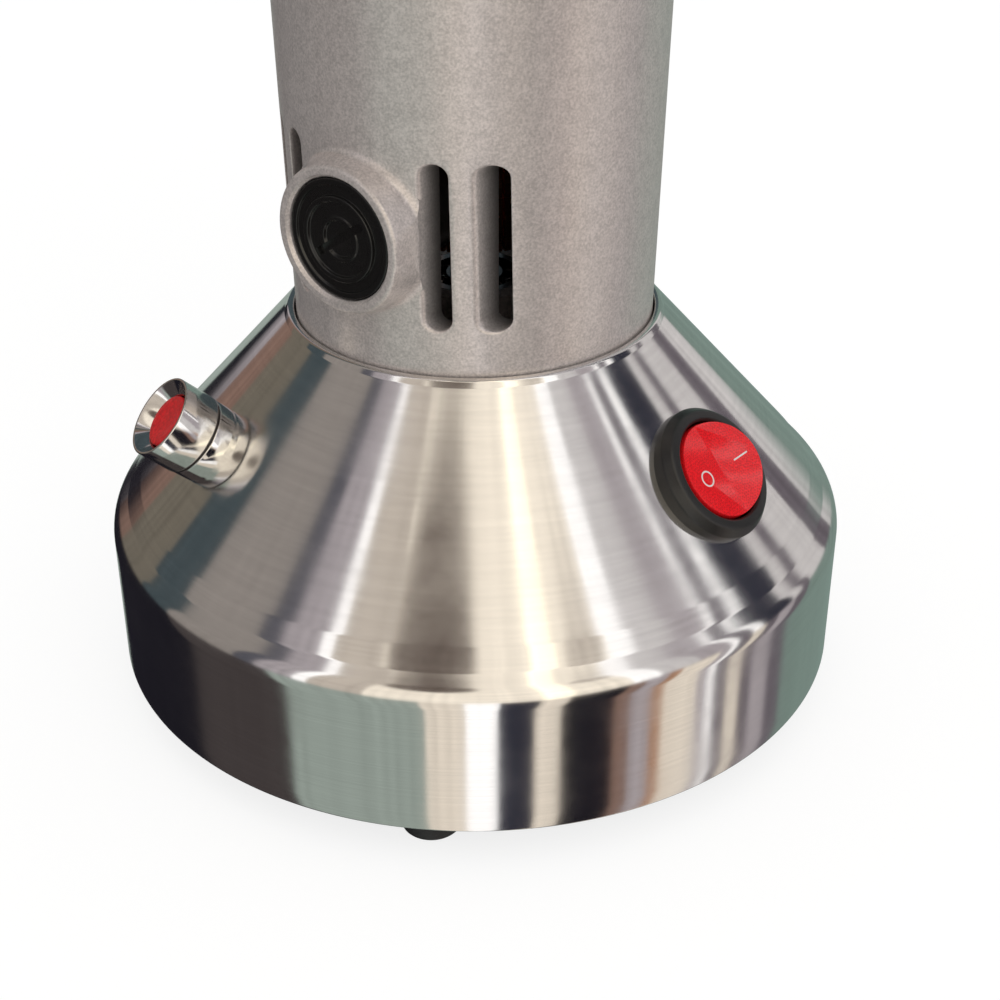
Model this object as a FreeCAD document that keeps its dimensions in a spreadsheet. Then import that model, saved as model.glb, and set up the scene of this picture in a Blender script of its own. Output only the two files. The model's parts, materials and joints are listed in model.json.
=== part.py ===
# Nut butter grinder with a vertical motor, a disc mill on top and a hopper over it.
# Millimetres, +Z up, -Y to the front. The origin is on the machine's axis at floor level.
# Angles round the machine are counted from the front, positive towards +X.

import FreeCAD, Part
import math
import os
import re
import sys

import Sketcher

doc = FreeCAD.newDocument("nut_butter_grinder")
sizes = doc.addObject("Spreadsheet::Sheet", "Sizes")
sizes.Label = "Sizes"
nodes = []


# Driving sizes: word, amount and meaning
driving_sizes = [
    # Driving sizes of the base
    ("foot_height", 8, "height of the rubber feet, floor to base band"),
    ("base_radius", 80, "outer radius of the base band"),
    ("shoulder_height", 31.6, "band bottom to the corner under the cone"),
    ("base_height", 78.6, "band bottom to the top of the cone at the neck"),
    ("shoulder_round", 6.5, "rounding between band and cone"),
    ("shell_sheet", 1.2, "sheet of the base shell"),
    ("neck_gap", 0.4, "gap between the shell's neck and the housing"),
    ("lip_width", 1.6, "width of the turned lip at the neck"),
    ("lip_rise", 0.9, "rise of the turned lip over its width"),
    ("plate_sheet", 1.5, "thickness of the bottom plate"),
    ("plate_gap", 0.2, "gap round the bottom plate"),
    ("vent_radius", 4, "radius of a hole in the bottom plate"),
    ("vent_circle", 40, "radius of the circle of holes in the bottom plate"),
    ("vent_count", 12, "holes in the bottom plate"),
    ("foot_count", 3, "rubber feet, the first one at the front"),
    ("foot_inset", 12, "edge of the base to the middle of a foot"),
    ("foot_top_radius", 7.4, "foot radius at the plate"),
    ("foot_bottom_radius", 6, "foot radius at the floor"),
    ("foot_recess_radius", 3.9, "radius of the recess for the screw head"),
    ("foot_recess_depth", 4.5, "depth of the recess for the screw head"),
    ("screw_radius", 2, "radius of an M4 screw"),
    ("screw_head_radius", 3.5, "head radius of an M4 screw"),
    ("screw_head_height", 2.4, "head height of an M4 screw"),
    ("screw_gap", 0.2, "radial gap of a screw in its clearance hole"),
    ("thread_gap", 0.02, "radial gap of a screw in its thread"),
    ("slot_depth", 1.2, "depth of a screw's drive"),
    ("small_screw_radius", 1.5, "radius of an M3 screw"),
    ("small_head_radius", 2.6, "head radius of an M3 screw"),
    ("tap_gap", 0.3, "thread beyond the end of a screw"),
    ("foot_screw_grip", 10, "length of a foot screw in its leg"),
    ("cutter_reach", 20, "length of the cutters for holes through a wall"),
    # Driving sizes of the support frame
    ("spigot_depth", 6, "how far the housing reaches into the neck"),
    ("ring_thickness", 8, "thickness of the support ring"),
    ("ring_inner_radius", 24, "bore of the support ring"),
    ("ring_outer_radius", 41, "outer radius of the support ring"),
    ("leg_width", 12, "width of a leg of the support frame"),
    ("leg_foot_width", 13, "radial length of a leg at the bottom plate"),
    ("leg_shoulder", 22, "height of a leg's upright outer end over the plate"),
    ("leg_inner_shoulder", 15.4, "height of a leg's upright inner side over the plate"),
    ("leg_root", 4, "bore of the support ring to the root of a leg"),
    ("leg_rise", 2, "underside of the support ring to the root of a leg"),
    ("frame_screw_length", 18, "length of the screws from frame to housing"),
    # Driving sizes of the housing
    ("housing_radius", 37.5, "outer radius of the housing at the neck"),
    ("housing_taper", 1.14, "angle by which the housing widens upwards"),
    ("housing_height", 129.4, "neck to the top of the housing"),
    ("housing_bore", 32.6, "bore round the commutator"),
    ("housing_seat", 33.9, "bore round the lower bearing bracket"),
    ("flange_radius", 58, "radius of the top flange"),
    ("flange_thickness", 8, "thickness of the top flange"),
    ("flange_slant", 5, "height of the slanted underside of the flange"),
    ("fan_bore", 34.4, "bore round the cooling fan"),
    ("slot_width", 4.7, "width of an air slot"),
    ("slot_length", 33.2, "height of an air slot, ends included"),
    ("slot_middle", 24.9, "neck to the middle of the air slots"),
    ("slot_root", 5, "middle plane of the housing to the inner end of a slot's cut"),
    ("slot_inner_angle", 26.5, "brush axis to the nearer slot"),
    ("slot_outer_angle", 43.1, "brush axis to the further slot"),
    ("exhaust_width", 5, "width of an exhaust slot"),
    ("exhaust_length", 14, "height of an exhaust slot"),
    ("exhaust_count", 14, "exhaust slots round the fan"),
    ("exhaust_drop", 3, "exhaust slots below the fan"),
    ("head_screw_circle", 53, "radius of the circle of head screws"),
    ("head_screw_count", 4, "screws that hold the grinding head"),
    ("head_screw_radius", 2.5, "radius of a head screw"),
    ("head_screw_cap_radius", 3.8, "head radius of a head screw"),
    ("head_screw_cap_height", 5, "head height of a head screw"),
    ("head_screw_grip", 6, "length of a head screw in the housing"),
    # Driving sizes of the brush gear
    ("brush_angle", -29.4, "angle of the first brush axis from the front"),
    ("brush_height", 25.6, "neck to the brush axis"),
    ("boss_radius", 14.6, "outer radius of a brush boss"),
    ("boss_root", 1, "inside of the housing to the root of a boss"),
    ("boss_reach", 42.6, "machine's axis to the rim of a brush boss"),
    ("cap_radius", 12, "radius of a brush cap"),
    ("cap_inset", 0.9, "brush cap below the rim of its boss"),
    ("cap_thickness", 5, "thickness of a brush cap"),
    ("ridge_outer", 8.6, "outer radius of the ridge on a brush cap"),
    ("ridge_inner", 7.4, "inner radius of the ridge on a brush cap"),
    ("ridge_height", 0.5, "height of the ridge on a brush cap"),
    ("coin_slot_length", 13.2, "length of the slot in a brush cap"),
    ("coin_slot_width", 1.6, "width of the slot in a brush cap"),
    ("cap_gap", 0.15, "radial gap round a brush cap"),
    ("holder_radius", 9.8, "radius of a brush holder"),
    ("holder_start", 17.5, "machine's axis to the inner end of a holder"),
    ("brush_width", 6, "width of a carbon brush round the commutator"),
    ("brush_tall", 8, "height of a carbon brush"),
    ("brush_length", 12, "length of a carbon brush"),
    ("brush_gap", 0.15, "gap between a brush and its holder"),
    ("brush_hollow", 2, "stock for the hollow face of a brush"),
    ("spring_radius", 2.4, "middle radius of a brush spring"),
    ("spring_wire", 0.35, "wire radius of the springs"),
    ("spring_turns", 5, "turns of a brush spring"),
    ("spring_gap", 0.1, "gap at each end of a spring"),
    # Driving sizes of the motor
    ("shaft_radius", 5, "shaft radius in the armature"),
    ("lower_journal", 4, "shaft radius in the lower bearing"),
    ("upper_journal", 6, "shaft radius in the upper bearing and the head"),
    ("shaft_tail", 1, "shaft below the lower bearing"),
    ("shaft_collar", 1.2, "width of the shaft's collar under the upper bearing"),
    ("shaft_shoulder", 2, "lower grinding disc to the shaft's upper shoulder"),
    ("commutator_radius", 14, "radius of the commutator"),
    ("commutator_height", 22, "height of the commutator"),
    ("commutator_bars", 22, "bars of the commutator"),
    ("bar_slit", 0.6, "width of the slits between the bars"),
    ("slit_depth", 2, "depth of the slits between the bars"),
    ("stator_start", 51.4, "neck to the bottom of the stator"),
    ("stator_height", 42, "height of the stator and armature stacks"),
    ("stator_radius", 33.2, "radius of the stator stack"),
    ("yoke_radius", 28.5, "inner radius of the stator's yoke"),
    ("pole_width", 25, "width of a stator pole"),
    ("armature_radius", 21, "radius of the armature stack"),
    ("air_gap", 0.5, "air gap between armature and poles"),
    ("armature_slots", 12, "slots of the armature"),
    ("armature_slot_radius", 2.6, "radius of an armature slot"),
    ("armature_slot_circle", 16.6, "radius of the circle of armature slots"),
    ("mouth_width", 1.6, "width of the mouth of an armature slot"),
    ("wire_slack", 0.1, "gap round the wires in an armature slot"),
    ("winding_overhang", 9, "windings beyond the stacks"),
    ("winding_radius", 19, "radius of the armature's end windings"),
    ("winding_bore_gap", 2.5, "gap between the shaft and the end windings"),
    ("winding_gap", 0.3, "gap between the stack and the end windings"),
    ("coil_gap", 0.4, "gap round the field coils"),
    ("coil_overhang", 8, "field coils beyond the stator"),
    ("coil_part", 1, "half of the gap that is left between the coils"),
    ("fan_start", 105.4, "neck to the bottom of the fan"),
    ("fan_height", 11, "height of the fan"),
    ("fan_radius", 30, "radius of the fan"),
    ("fan_hub_radius", 9, "hub radius of the fan"),
    ("fan_plate", 1.6, "thickness of the fan's disc"),
    ("fan_blades", 9, "blades of the fan"),
    ("fan_blade_sheet", 1.4, "thickness of a fan blade"),
    ("fan_blade_height", 10, "height of a fan blade"),
    ("fan_blade_inset", 0.5, "edge of the fan to the end of a blade"),
    # Driving sizes of the bearings
    ("lower_bearing_radius", 11, "outer radius of the lower bearing"),
    ("lower_bearing_width", 7, "width of the lower bearing"),
    ("upper_bearing_radius", 16, "outer radius of the upper bearing"),
    ("upper_bearing_width", 10, "width of the upper bearing"),
    ("race_share", 0.27, "share of a bearing's depth taken by each ring"),
    ("ball_gap", 0.05, "gap between a ball and its rings"),
    ("ball_count", 7, "balls of a bearing"),
    ("seat_gap", 0.02, "radial gap of a bearing or shaft in its seat"),
    ("bracket_thickness", 4, "thickness of the lower bearing bracket"),
    ("bracket_gap", 0.1, "radial gap of the lower bracket in the housing"),
    ("shaft_clearance", 2, "radial gap of the shaft in a bearing floor"),
    ("bracket_hub_wall", 3.5, "wall round a bearing"),
    ("bracket_window_radius", 5, "radius of a window in the lower bracket"),
    ("bracket_window_circle", 24, "circle of the windows in the lower bracket"),
    ("bracket_windows", 6, "windows in the lower bracket"),
    ("bearing_plate_thickness", 6, "thickness of the upper bearing plate"),
    ("bearing_floor", 3, "floor under the upper bearing"),
    # Driving sizes of the grinding head
    ("chamber_radius", 48, "outer radius of the chamber wall"),
    ("chamber_wall", 4.5, "thickness of the chamber wall"),
    ("chamber_height", 40, "bearing plate to the chamber's rim"),
    ("chamber_floor", 5, "thickness of the chamber floor"),
    ("chamber_flange", 6, "thickness of the chamber's foot flange"),
    ("seal_radius", 14, "outer radius of the shaft seal"),
    ("seal_height", 7, "height of the shaft seal"),
    ("seal_wall", 4, "wall round the shaft seal"),
    ("seal_recess", 2.5, "shaft to the inside of the seal over its lip"),
    ("seal_lip", 2, "depth of the recess over the seal's lip"),
    ("seal_slant", 1, "slant of the seal's lip"),
    ("running_gap", 0.05, "radial gap of a running fit"),
    ("blade_start", 8, "bearing plate to the scraper blades"),
    ("blade_height", 3.4, "height of the scraper blades"),
    ("blade_count", 4, "scraper blades under the carrier"),
    ("blade_width", 4, "width of a scraper blade"),
    ("blade_length", 20, "length of a scraper blade"),
    ("carrier_hub_wall", 5, "wall of the disc carrier round the shaft"),
    ("carrier_thickness", 5, "thickness of the disc carrier"),
    ("disc_radius", 40, "outer radius of the grinding discs"),
    ("disc_bore", 17, "bore of the grinding discs"),
    ("disc_thickness", 9, "thickness of each grinding disc"),
    ("grinding_gap", 0.3, "gap between the grinding discs at rest"),
    ("groove_count", 16, "grooves in each grinding disc"),
    ("groove_width", 2.4, "width of a groove"),
    ("groove_depth", 1.5, "depth of a groove"),
    ("groove_offset", 4, "offset of a groove from the disc's radius"),
    ("disc_screw_circle", 22, "circle of the screws in the discs"),
    ("disc_screw_count", 3, "screws in each disc"),
    ("disc_screw_grip", 4.5, "length of a disc screw beyond its disc"),
    ("disc_sink", 4.2, "depth of the sunk screw heads in a disc"),
    ("feed_hub_radius", 8.5, "hub radius of the feed screw"),
    ("feed_radius", 15.5, "radius of the feed screw's vanes"),
    ("feed_height", 22, "height of the feed screw"),
    ("feed_vanes", 3, "vanes of the feed screw"),
    ("feed_vane_width", 3.5, "thickness of a vane"),
    ("feed_hub_flare", 3, "widening of the feed screw's hub at its foot"),
    ("vane_drop", 2, "top of the feed screw down to its vanes"),
    ("nut_radius", 8, "radius over the lock nut's corners"),
    ("nut_height", 7, "height of the lock nut"),
    ("nut_cover", 1, "closed top of the lock nut"),
    ("lock_thread", 4, "shaft radius in the lock nut"),
    # Driving sizes of the adjusting gear
    ("thread_length", 15, "chamber rim to the lower edge of the adjusting ring"),
    ("ring_radius", 57, "outer radius of the adjusting ring"),
    ("ring_web", 6, "thickness of the adjusting ring's top"),
    ("ring_lift", 0.5, "chamber rim to the adjusting ring's top web"),
    ("grip_count", 24, "finger grooves round the adjusting ring"),
    ("grip_depth", 1.1, "depth of a finger groove"),
    ("grip_radius", 3, "radius of a finger groove"),
    ("collar_radius", 36, "radius of the disc holder's collar"),
    ("collar_gap", 0.3, "radial gap round the holder's collar and shoulder"),
    ("collar_rise", 12, "collar above the chamber rim"),
    ("shoulder_gap", 0.1, "axial gap between holder, ring and circlip"),
    ("throat_radius", 17.4, "radius of the throat in the holder"),
    ("circlip_thickness", 1.6, "thickness of the holder's circlip"),
    ("circlip_width", 4, "width of the circlip"),
    ("circlip_groove", 1.5, "depth of the circlip's groove"),
    ("circlip_mouth", 8, "opening of the circlip"),
    ("pin_radius", 2, "radius of a guide pin"),
    ("pin_reach", 3, "guide pin inside the chamber wall"),
    ("pin_drop", 3.2, "chamber rim to the axis of the guide pins"),
    ("pin_inset", 0.3, "guide pin below the chamber's outer face"),
    ("rod_radius", 4, "radius of a handle rod"),
    ("rod_drop", 9, "top of the adjusting ring to the axis of the rods"),
    ("grip_knob_radius", 8, "radius of a handle grip"),
    ("grip_knob_reach", 80, "machine's axis to the end of a handle grip"),
    ("grip_knob_neck", 6, "radius of a handle grip at the ring"),
    ("grip_clear", 4, "adjusting ring to a handle grip"),
    ("grip_end", 10, "handle grip beyond the end of its rod"),
    ("rod_seat", 5, "handle rod inside the adjusting ring"),
    # Driving sizes of the spout
    ("spout_reach", 92, "machine's axis to the front of the spout"),
    ("spout_run", 70, "machine's axis to the spout's bend"),
    ("spout_width", 28, "width of the spout"),
    ("spout_clearance", 1, "spout clear of the chamber's foot"),
    ("spout_wall", 3, "wall of the spout"),
    ("spout_drop", 16, "chamber foot down to the spout's mouth"),
    ("spout_depth", 16, "depth of the spout's mouth, front to back"),
    ("spout_top", 22, "chamber foot up to the top of the spout"),
    ("pad_reach", 52, "machine's axis to the pad under the spout"),
    ("pad_width", 44, "width of the pad and of the spout's flange"),
    ("pad_rise", 2, "pad above the spout"),
    ("gasket_sheet", 1, "thickness of the spout's gasket"),
    ("spout_flange", 3.5, "thickness of the spout's flange"),
    ("spout_screw_side", 17.6, "machine's middle to a spout screw"),
    ("spout_screw_grip", 4, "length of a spout screw in the pad"),
    # Driving sizes of the hopper
    ("hopper_sheet", 1.5, "sheet of the hopper"),
    ("hopper_flange_radius", 33, "radius of the hopper's foot flange"),
    ("hopper_flange", 2.5, "thickness of the hopper's foot flange"),
    ("hopper_throat_height", 12, "height of the straight throat"),
    ("hopper_cone_height", 52, "height of the hopper's cone"),
    ("hopper_wall_height", 12, "height of the straight wall under the rim"),
    ("hopper_radius", 72, "outer radius of the hopper"),
    ("rim_width", 3, "width of the rim beyond the wall"),
    ("rim_height", 4, "height of the rim"),
    ("hopper_screw_circle", 28, "circle of the hopper screws"),
    ("hopper_screw_count", 3, "hopper screws"),
    ("hopper_screw_grip", 6, "length of a hopper screw in the holder"),
    ("seal_circle", 21.6, "middle radius of the hopper's seal"),
    ("seal_cord", 1.1, "cord radius of the hopper's seal"),
    ("seal_side_gap", 0.3, "gap beside the hopper's seal"),
    ("lid_sheet", 2, "thickness of the lid"),
    ("lid_skirt", 7, "depth of the lid's skirt"),
    ("lid_gap", 0.5, "radial gap between the lid's skirt and the hopper"),
    ("lid_crown", 5, "rise of the lid's middle"),
    ("lid_pad_radius", 16, "radius of the flat middle of the lid"),
    ("lid_screw_grip", 10, "length of the lid's screw in its knob"),
    ("knob_radius", 15, "radius of the lid's knob"),
    ("knob_neck_radius", 7, "neck radius of the lid's knob"),
    ("knob_height", 22, "height of the lid's knob"),
    ("knob_neck_height", 9, "height of the neck of the lid's knob"),
    ("knob_foot", 3, "width of the knob's foot beyond its neck"),
    ("knob_foot_height", 2, "height of the knob's foot"),
    ("knob_round", 4, "height of the knob's slanted edges"),
    ("knob_top_radius", 9, "radius of the flat top of the knob"),
    # Driving sizes of the switch and the overload protector
    ("control_angle", 60, "angle of the switch and the protector from the front"),
    ("control_run", 32, "neck down the cone to the middle of a control"),
    ("bezel_radius", 14.4, "outer radius of the switch's bezel"),
    ("bezel_height", 4, "height of the bezel above the cone"),
    ("bezel_seat", 1.5, "skirt of a control that meets the cone"),
    ("bezel_slant", 1.2, "width of the slanted edge of the bezel"),
    ("seat_rise", 0.5, "cone to the underside of a control above its skirt"),
    ("barrel_radius", 12.4, "radius of the switch's barrel"),
    ("barrel_length", 19, "length of the barrel behind the cone"),
    ("panel_gap", 0.2, "radial gap of a control in its hole"),
    ("rocker_radius", 10.4, "radius of the rocker about its pivot"),
    ("rocker_gap", 0.3, "gap between rocker and bezel"),
    ("rocker_pivot", 1.2, "cone to the rocker's pivot"),
    ("rocker_flat", 2.3, "pivot to the pressed half of the rocker"),
    ("rocker_angle", 20, "angle between the rocker's halves"),
    ("rocker_depth", 6, "pivot to the rocker's underside"),
    ("rocker_pin_radius", 1.2, "radius of the rocker's pins"),
    ("pin_seat", 1, "length of a rocker pin in the bezel"),
    ("pin_end_gap", 0.2, "gap at the end of a rocker pin"),
    ("cavity_depth", 9.5, "cone to the floor under the rocker"),
    ("terminal_length", 8, "length of the terminals"),
    ("terminal_width", 6.3, "width of the terminals"),
    ("terminal_sheet", 0.8, "thickness of the terminals"),
    ("terminal_spread", 6, "middle to an outer terminal"),
    ("terminal_root", 3, "length of a terminal inside its body"),
    ("protector_neck", 8, "radius of the protector's bushing"),
    ("protector_nut_radius", 8.5, "radius of the protector's base ring"),
    ("protector_nut_height", 4.3, "height of the protector's base ring"),
    ("protector_cap_radius", 8.7, "radius of the protector's cap"),
    ("protector_cap_height", 13, "cone to the rim of the cap"),
    ("cap_line", 0.4, "dark line between base ring and cap"),
    ("funnel_depth", 2.4, "depth of the funnel in the cap"),
    ("bushing_rise", 3, "bushing inside the cap"),
    ("funnel_rim", 0.5, "width of the rim round the funnel"),
    ("button_radius", 5.6, "radius of the reset button"),
    ("button_gap", 0.3, "gap round the reset button"),
    ("button_height", 6, "height of the reset button"),
    ("button_inset", 1.7, "rim of the cap down to the button"),
    ("button_stem", 1.5, "radius of the button's stem"),
    ("button_stem_length", 2.5, "length of the button's stem"),
    ("button_travel", 1.6, "travel of the reset button"),
    ("button_room", 0.5, "room under the stem of the pressed button"),
    ("reset_turns", 3, "turns of the reset spring"),
    ("case_radius", 10.5, "radius of the protector's case"),
    ("case_gap", 0.9, "gap between the curved shell and the middle of the case"),
    ("case_length", 24, "length of the protector's case"),
    # Driving sizes of the cord gland
    ("gland_height", 16, "band bottom to the gland's axis"),
    ("gland_radius", 7.5, "radius of the gland in the band"),
    ("gland_head_radius", 10.5, "radius of the gland's head"),
    ("gland_reach", 12, "gland outside the band"),
    ("gland_shoulder", 6, "height of the gland's head before it narrows"),
    ("gland_tip_radius", 6.5, "radius of the gland's tip"),
    ("gland_inside", 13, "gland inside the band"),
    ("gland_bore", 3.9, "bore of the gland"),
    ("gland_nut_radius", 10, "radius over the gland nut's corners"),
    ("gland_nut_height", 5, "height of the gland nut"),
    ("nut_drop", 0.8, "gap between the curved band and the middle of the nut"),

    # Driving sizes of the inner wiring
    ("wire_radius", 1.2, "radius of an insulated wire"),
    ("wire_pitch", 6, "spacing of the wires in the terminal block"),
    ("wire_lane", 21.5, "machine's axis to a wire that climbs through the ring"),
    ("wire_exit", 13, "straight length of a wire at a terminal"),
    ("block_length", 20, "length of the terminal block"),
    ("block_width", 12, "width of the terminal block"),
    ("block_height", 10, "height of the terminal block"),
    ("block_place", 50, "machine's axis to the middle of the terminal block"),
    ("block_screw_radius", 1.6, "radius of a screw hole in the terminal block"),
    ("wire_seat", 3, "wire inside the terminal block"),
]
for row, (word, amount, meaning) in enumerate(driving_sizes, 1):
    sizes.set("A%d" % row, meaning)
    sizes.set("B%d" % row, str(amount))
    sizes.setAlias("B%d" % row, word)
words = [row[0] for row in driving_sizes]
doc.recompute()

pattern = re.compile(r"[A-Za-z_]+")


def cells(text):
    """Write an expression with the sheet's name before each of its words."""
    def full_name(found):
        return ("Sizes." if found.group() in words else "") + found.group()
    return pattern.sub(full_name, text)


def tie(thing, **properties):
    """Bind properties to expressions in the sheet's words."""
    for name, text in properties.items():
        thing.setExpression(name, cells(text))


def count(word):
    """Number of copies that the sheet gives."""
    return int(round(sizes.get(word)))


def put(thing, place):
    """Bind a placement to an expression and return the thing."""
    if place:
        thing.setExpression("Placement", cells(place))
    return thing


def at(x="0", y="0", z="0", axis=None, angle="0"):
    """Placement expression: a shift and, with an axis, a turn about the moved origin."""
    turn = "rotation(vector(%s); %s)" % (axis or "0;0;1", angle)
    return "placement(vector(%s; %s; %s); %s)" % (x, y, z, turn)


def around(angle, *more):
    """Placement expression: a turn about the machine's axis, then further placements."""
    return " * ".join([at(angle=angle)] + list(more))


def cylinder(name, radius, height, place=None):
    thing = doc.addObject("Part::Cylinder", name)
    tie(thing, Radius=radius, Height=height)
    return put(thing, place)


def cone(name, lower, upper, height, place=None):
    thing = doc.addObject("Part::Cone", name)
    tie(thing, Radius1=lower, Radius2=upper, Height=height)
    return put(thing, place)


def sphere(name, radius, place=None):
    thing = doc.addObject("Part::Sphere", name)
    tie(thing, Radius=radius)
    return put(thing, place)


def box(name, length, width, height, place=None):
    thing = doc.addObject("Part::Box", name)
    tie(thing, Length=length, Width=width, Height=height)
    return put(thing, place)


def prism(name, sides, radius, height, place=None):
    thing = doc.addObject("Part::Prism", name)
    thing.Polygon = sides
    tie(thing, Circumradius=radius, Height=height)
    return put(thing, place)


def tube(name, outer, inner, height, place=None):
    thing = cut(name, cylinder(name + "_outer", outer, height), [cylinder(name + "_inner", inner, height)])
    return put(thing, place)


def fuse(name, things):
    joined = doc.addObject("Part::MultiFuse", name)
    joined.Shapes = things
    return joined


def group(name, things):
    together = doc.addObject("Part::Compound", name)
    together.Links = things
    return together


def cut(name, base, tools):
    result = doc.addObject("Part::Cut", name)
    result.Base = base
    result.Tool = tools[0] if len(tools) == 1 else fuse(name + "_tools", tools)
    return result


def common(name, first, second):
    result = doc.addObject("Part::Common", name)
    result.Base = first
    result.Tool = second
    return result


def sketch(body, plane, points=(), circles=()):
    """Sketch on one of the body's own planes, each point and circle bound to expressions."""
    drawn = body.newObject("Sketcher::SketchObject", body.Name + "_sketch")
    support = [feature for feature in body.Origin.OriginFeatures if feature.Role == plane][0]
    drawn.AttachmentSupport = [(support, "")]
    drawn.MapMode = "FlatFace"
    corners = len(points)
    for i in range(corners):
        start = FreeCAD.Vector(10 + i, i * i, 0)
        end = FreeCAD.Vector(11 + i, (i + 1) ** 2, 0) if i + 1 < corners else FreeCAD.Vector(10, 0, 0)
        drawn.addGeometry(Part.LineSegment(start, end), False)
    for i in range(corners):
        drawn.addConstraint(Sketcher.Constraint("Coincident", i, 2, (i + 1) % corners, 1))
    for i, (across, up) in enumerate(points):
        for kind, text in (("DistanceX", across), ("DistanceY", up)):
            number = drawn.addConstraint(Sketcher.Constraint(kind, -1, 1, i, 1, 10.0 + i))
            drawn.setExpression("Constraints[%d]" % number, cells(text))
    for i, (across, up, radius) in enumerate(circles):
        centre = FreeCAD.Vector(10, 10, 0)
        drawn.addGeometry(Part.Circle(centre, FreeCAD.Vector(0, 0, 1), 5), False)
        line = corners + i
        for kind, text in (("DistanceX", across), ("DistanceY", up)):
            number = drawn.addConstraint(Sketcher.Constraint(kind, -1, 1, line, 3, 10.0))
            drawn.setExpression("Constraints[%d]" % number, cells(text))
        number = drawn.addConstraint(Sketcher.Constraint("Radius", line, 5))
        drawn.setExpression("Constraints[%d]" % number, cells(radius))
    return drawn


def turned(name, points, place=None):
    """Body turned about Z from an outline of radius and height."""
    body = doc.addObject("PartDesign::Body", name)
    outline = sketch(body, "XZ_Plane", points)
    revolution = body.newObject("PartDesign::Revolution", name + "_turn")
    revolution.Profile = outline
    revolution.ReferenceAxis = (outline, ["V_Axis"])
    revolution.Angle = 360
    return put(body, place)


def slab(name, plane, points, thickness, place=None, circles=()):
    """Body padded both ways from its middle plane."""
    body = doc.addObject("PartDesign::Body", name)
    outline = sketch(body, plane, points, circles)
    pad = body.newObject("PartDesign::Pad", name + "_pad")
    pad.Profile = outline
    pad.Midplane = True
    tie(pad, Length=thickness)
    return put(body, place)


def rounded(body, radius, pick):
    """Fillet those edges of the body that pick accepts."""
    doc.recompute()
    last = body.Tip
    names = ["Edge%d" % (i + 1) for i, edge in enumerate(last.Shape.Edges) if pick(edge)]
    fillet = body.newObject("PartDesign::Fillet", body.Name + "_round")
    fillet.Base = (last, names)
    tie(fillet, Radius=radius)
    body.Tip = fillet
    return body


def circle_at(radius, height):
    """Test for a round edge about Z with about this radius and height."""
    def test(edge):
        curve = edge.Curve
        return (hasattr(curve, "Radius") and abs(curve.Radius - radius) < 0.05
                and abs(curve.Center.z - height) < 0.05)
    return test


def amount_of(text):
    """Number that an expression in the sheet's words has now."""
    return float(sizes.evalExpression(cells(text)))


def round_corner(before, corner, after, run):
    """Ends and middle of the arc that leaves and meets two runs at this distance from their corner."""
    back = (before - corner).normalize()
    ahead = (after - corner).normalize()
    half_turn = (math.pi - back.getAngle(ahead)) / 2
    radius = run / math.tan(half_turn)
    inwards = (back + ahead).normalize()
    sag = radius / math.cos(half_turn) - radius
    return corner + back * run, corner + inwards * sag, corner + ahead * run


def pipe(name, edges, direction, radius):
    """Round solid along a path of edges that starts in this direction."""
    section = Part.Wire(Part.Circle(edges[0].valueAt(edges[0].FirstParameter), direction, radius).toShape())
    solid = doc.addObject("Part::Feature", name)
    solid.Shape = Part.Wire(edges).makePipeShell([section], True, False)
    return solid


def spring(name, radius, wire, length, turns, place):
    """Coil spring along Z with round wire, each quarter turn made of two arcs."""
    coil, rise, laps = amount_of(radius), amount_of(length), count(turns)
    quarters = 4 * laps
    pitch = rise / (2 * math.pi * laps)
    points = []
    courses = []
    for i in range(quarters + 1):
        angle = i * math.pi / 2
        points.append(FreeCAD.Vector(coil * math.cos(angle), coil * math.sin(angle), pitch * angle))
        courses.append(FreeCAD.Vector(-coil * math.sin(angle), coil * math.cos(angle), pitch).normalize())
    edges = []
    for start, end, leaving, arriving in zip(points, points[1:], courses, courses[1:]):
        chord = end - start
        spread = 2 * (1 - leaving.dot(arriving))
        along = 2 * chord.dot(leaving + arriving)
        run = (math.sqrt(along * along + 4 * spread * chord.dot(chord)) - along) / (2 * spread)
        first = start + leaving * run
        second = end - arriving * run
        for before, corner, after in ((start, first, second), (first, second, end)):
            leave, middle, meet = round_corner(before, corner, after, run)
            edges.append(Part.Arc(leave, middle, meet).toShape())
    return put(pipe(name, edges, courses[0], amount_of(wire)), place)


def insulated_wire(name, points):
    """Wire of straight runs joined by arcs as large as the runs allow."""
    edges = []
    start = points[0]
    for before, corner, after in zip(points, points[1:], points[2:]):
        shorter = min((before - corner).Length, (after - corner).Length)
        leave, middle, meet = round_corner(before, corner, after, ARC_SHARE * shorter)
        edges.append(Part.LineSegment(start, leave).toShape())
        edges.append(Part.Arc(leave, middle, meet).toShape())
        start = meet
        print(name, "bends with radius", round(edges[-1].Curve.Radius, 1))
    edges.append(Part.LineSegment(start, points[-1]).toShape())
    return pipe(name, edges, points[1] - points[0], amount_of("wire_radius"))


def node(thing, name):
    """Mark a finished sub-part: its label names its file."""
    thing.Label = name
    nodes.append(thing)
    return thing


# Share of the shorter run that an arc between two runs takes
ARC_SHARE = 0.45

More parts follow.
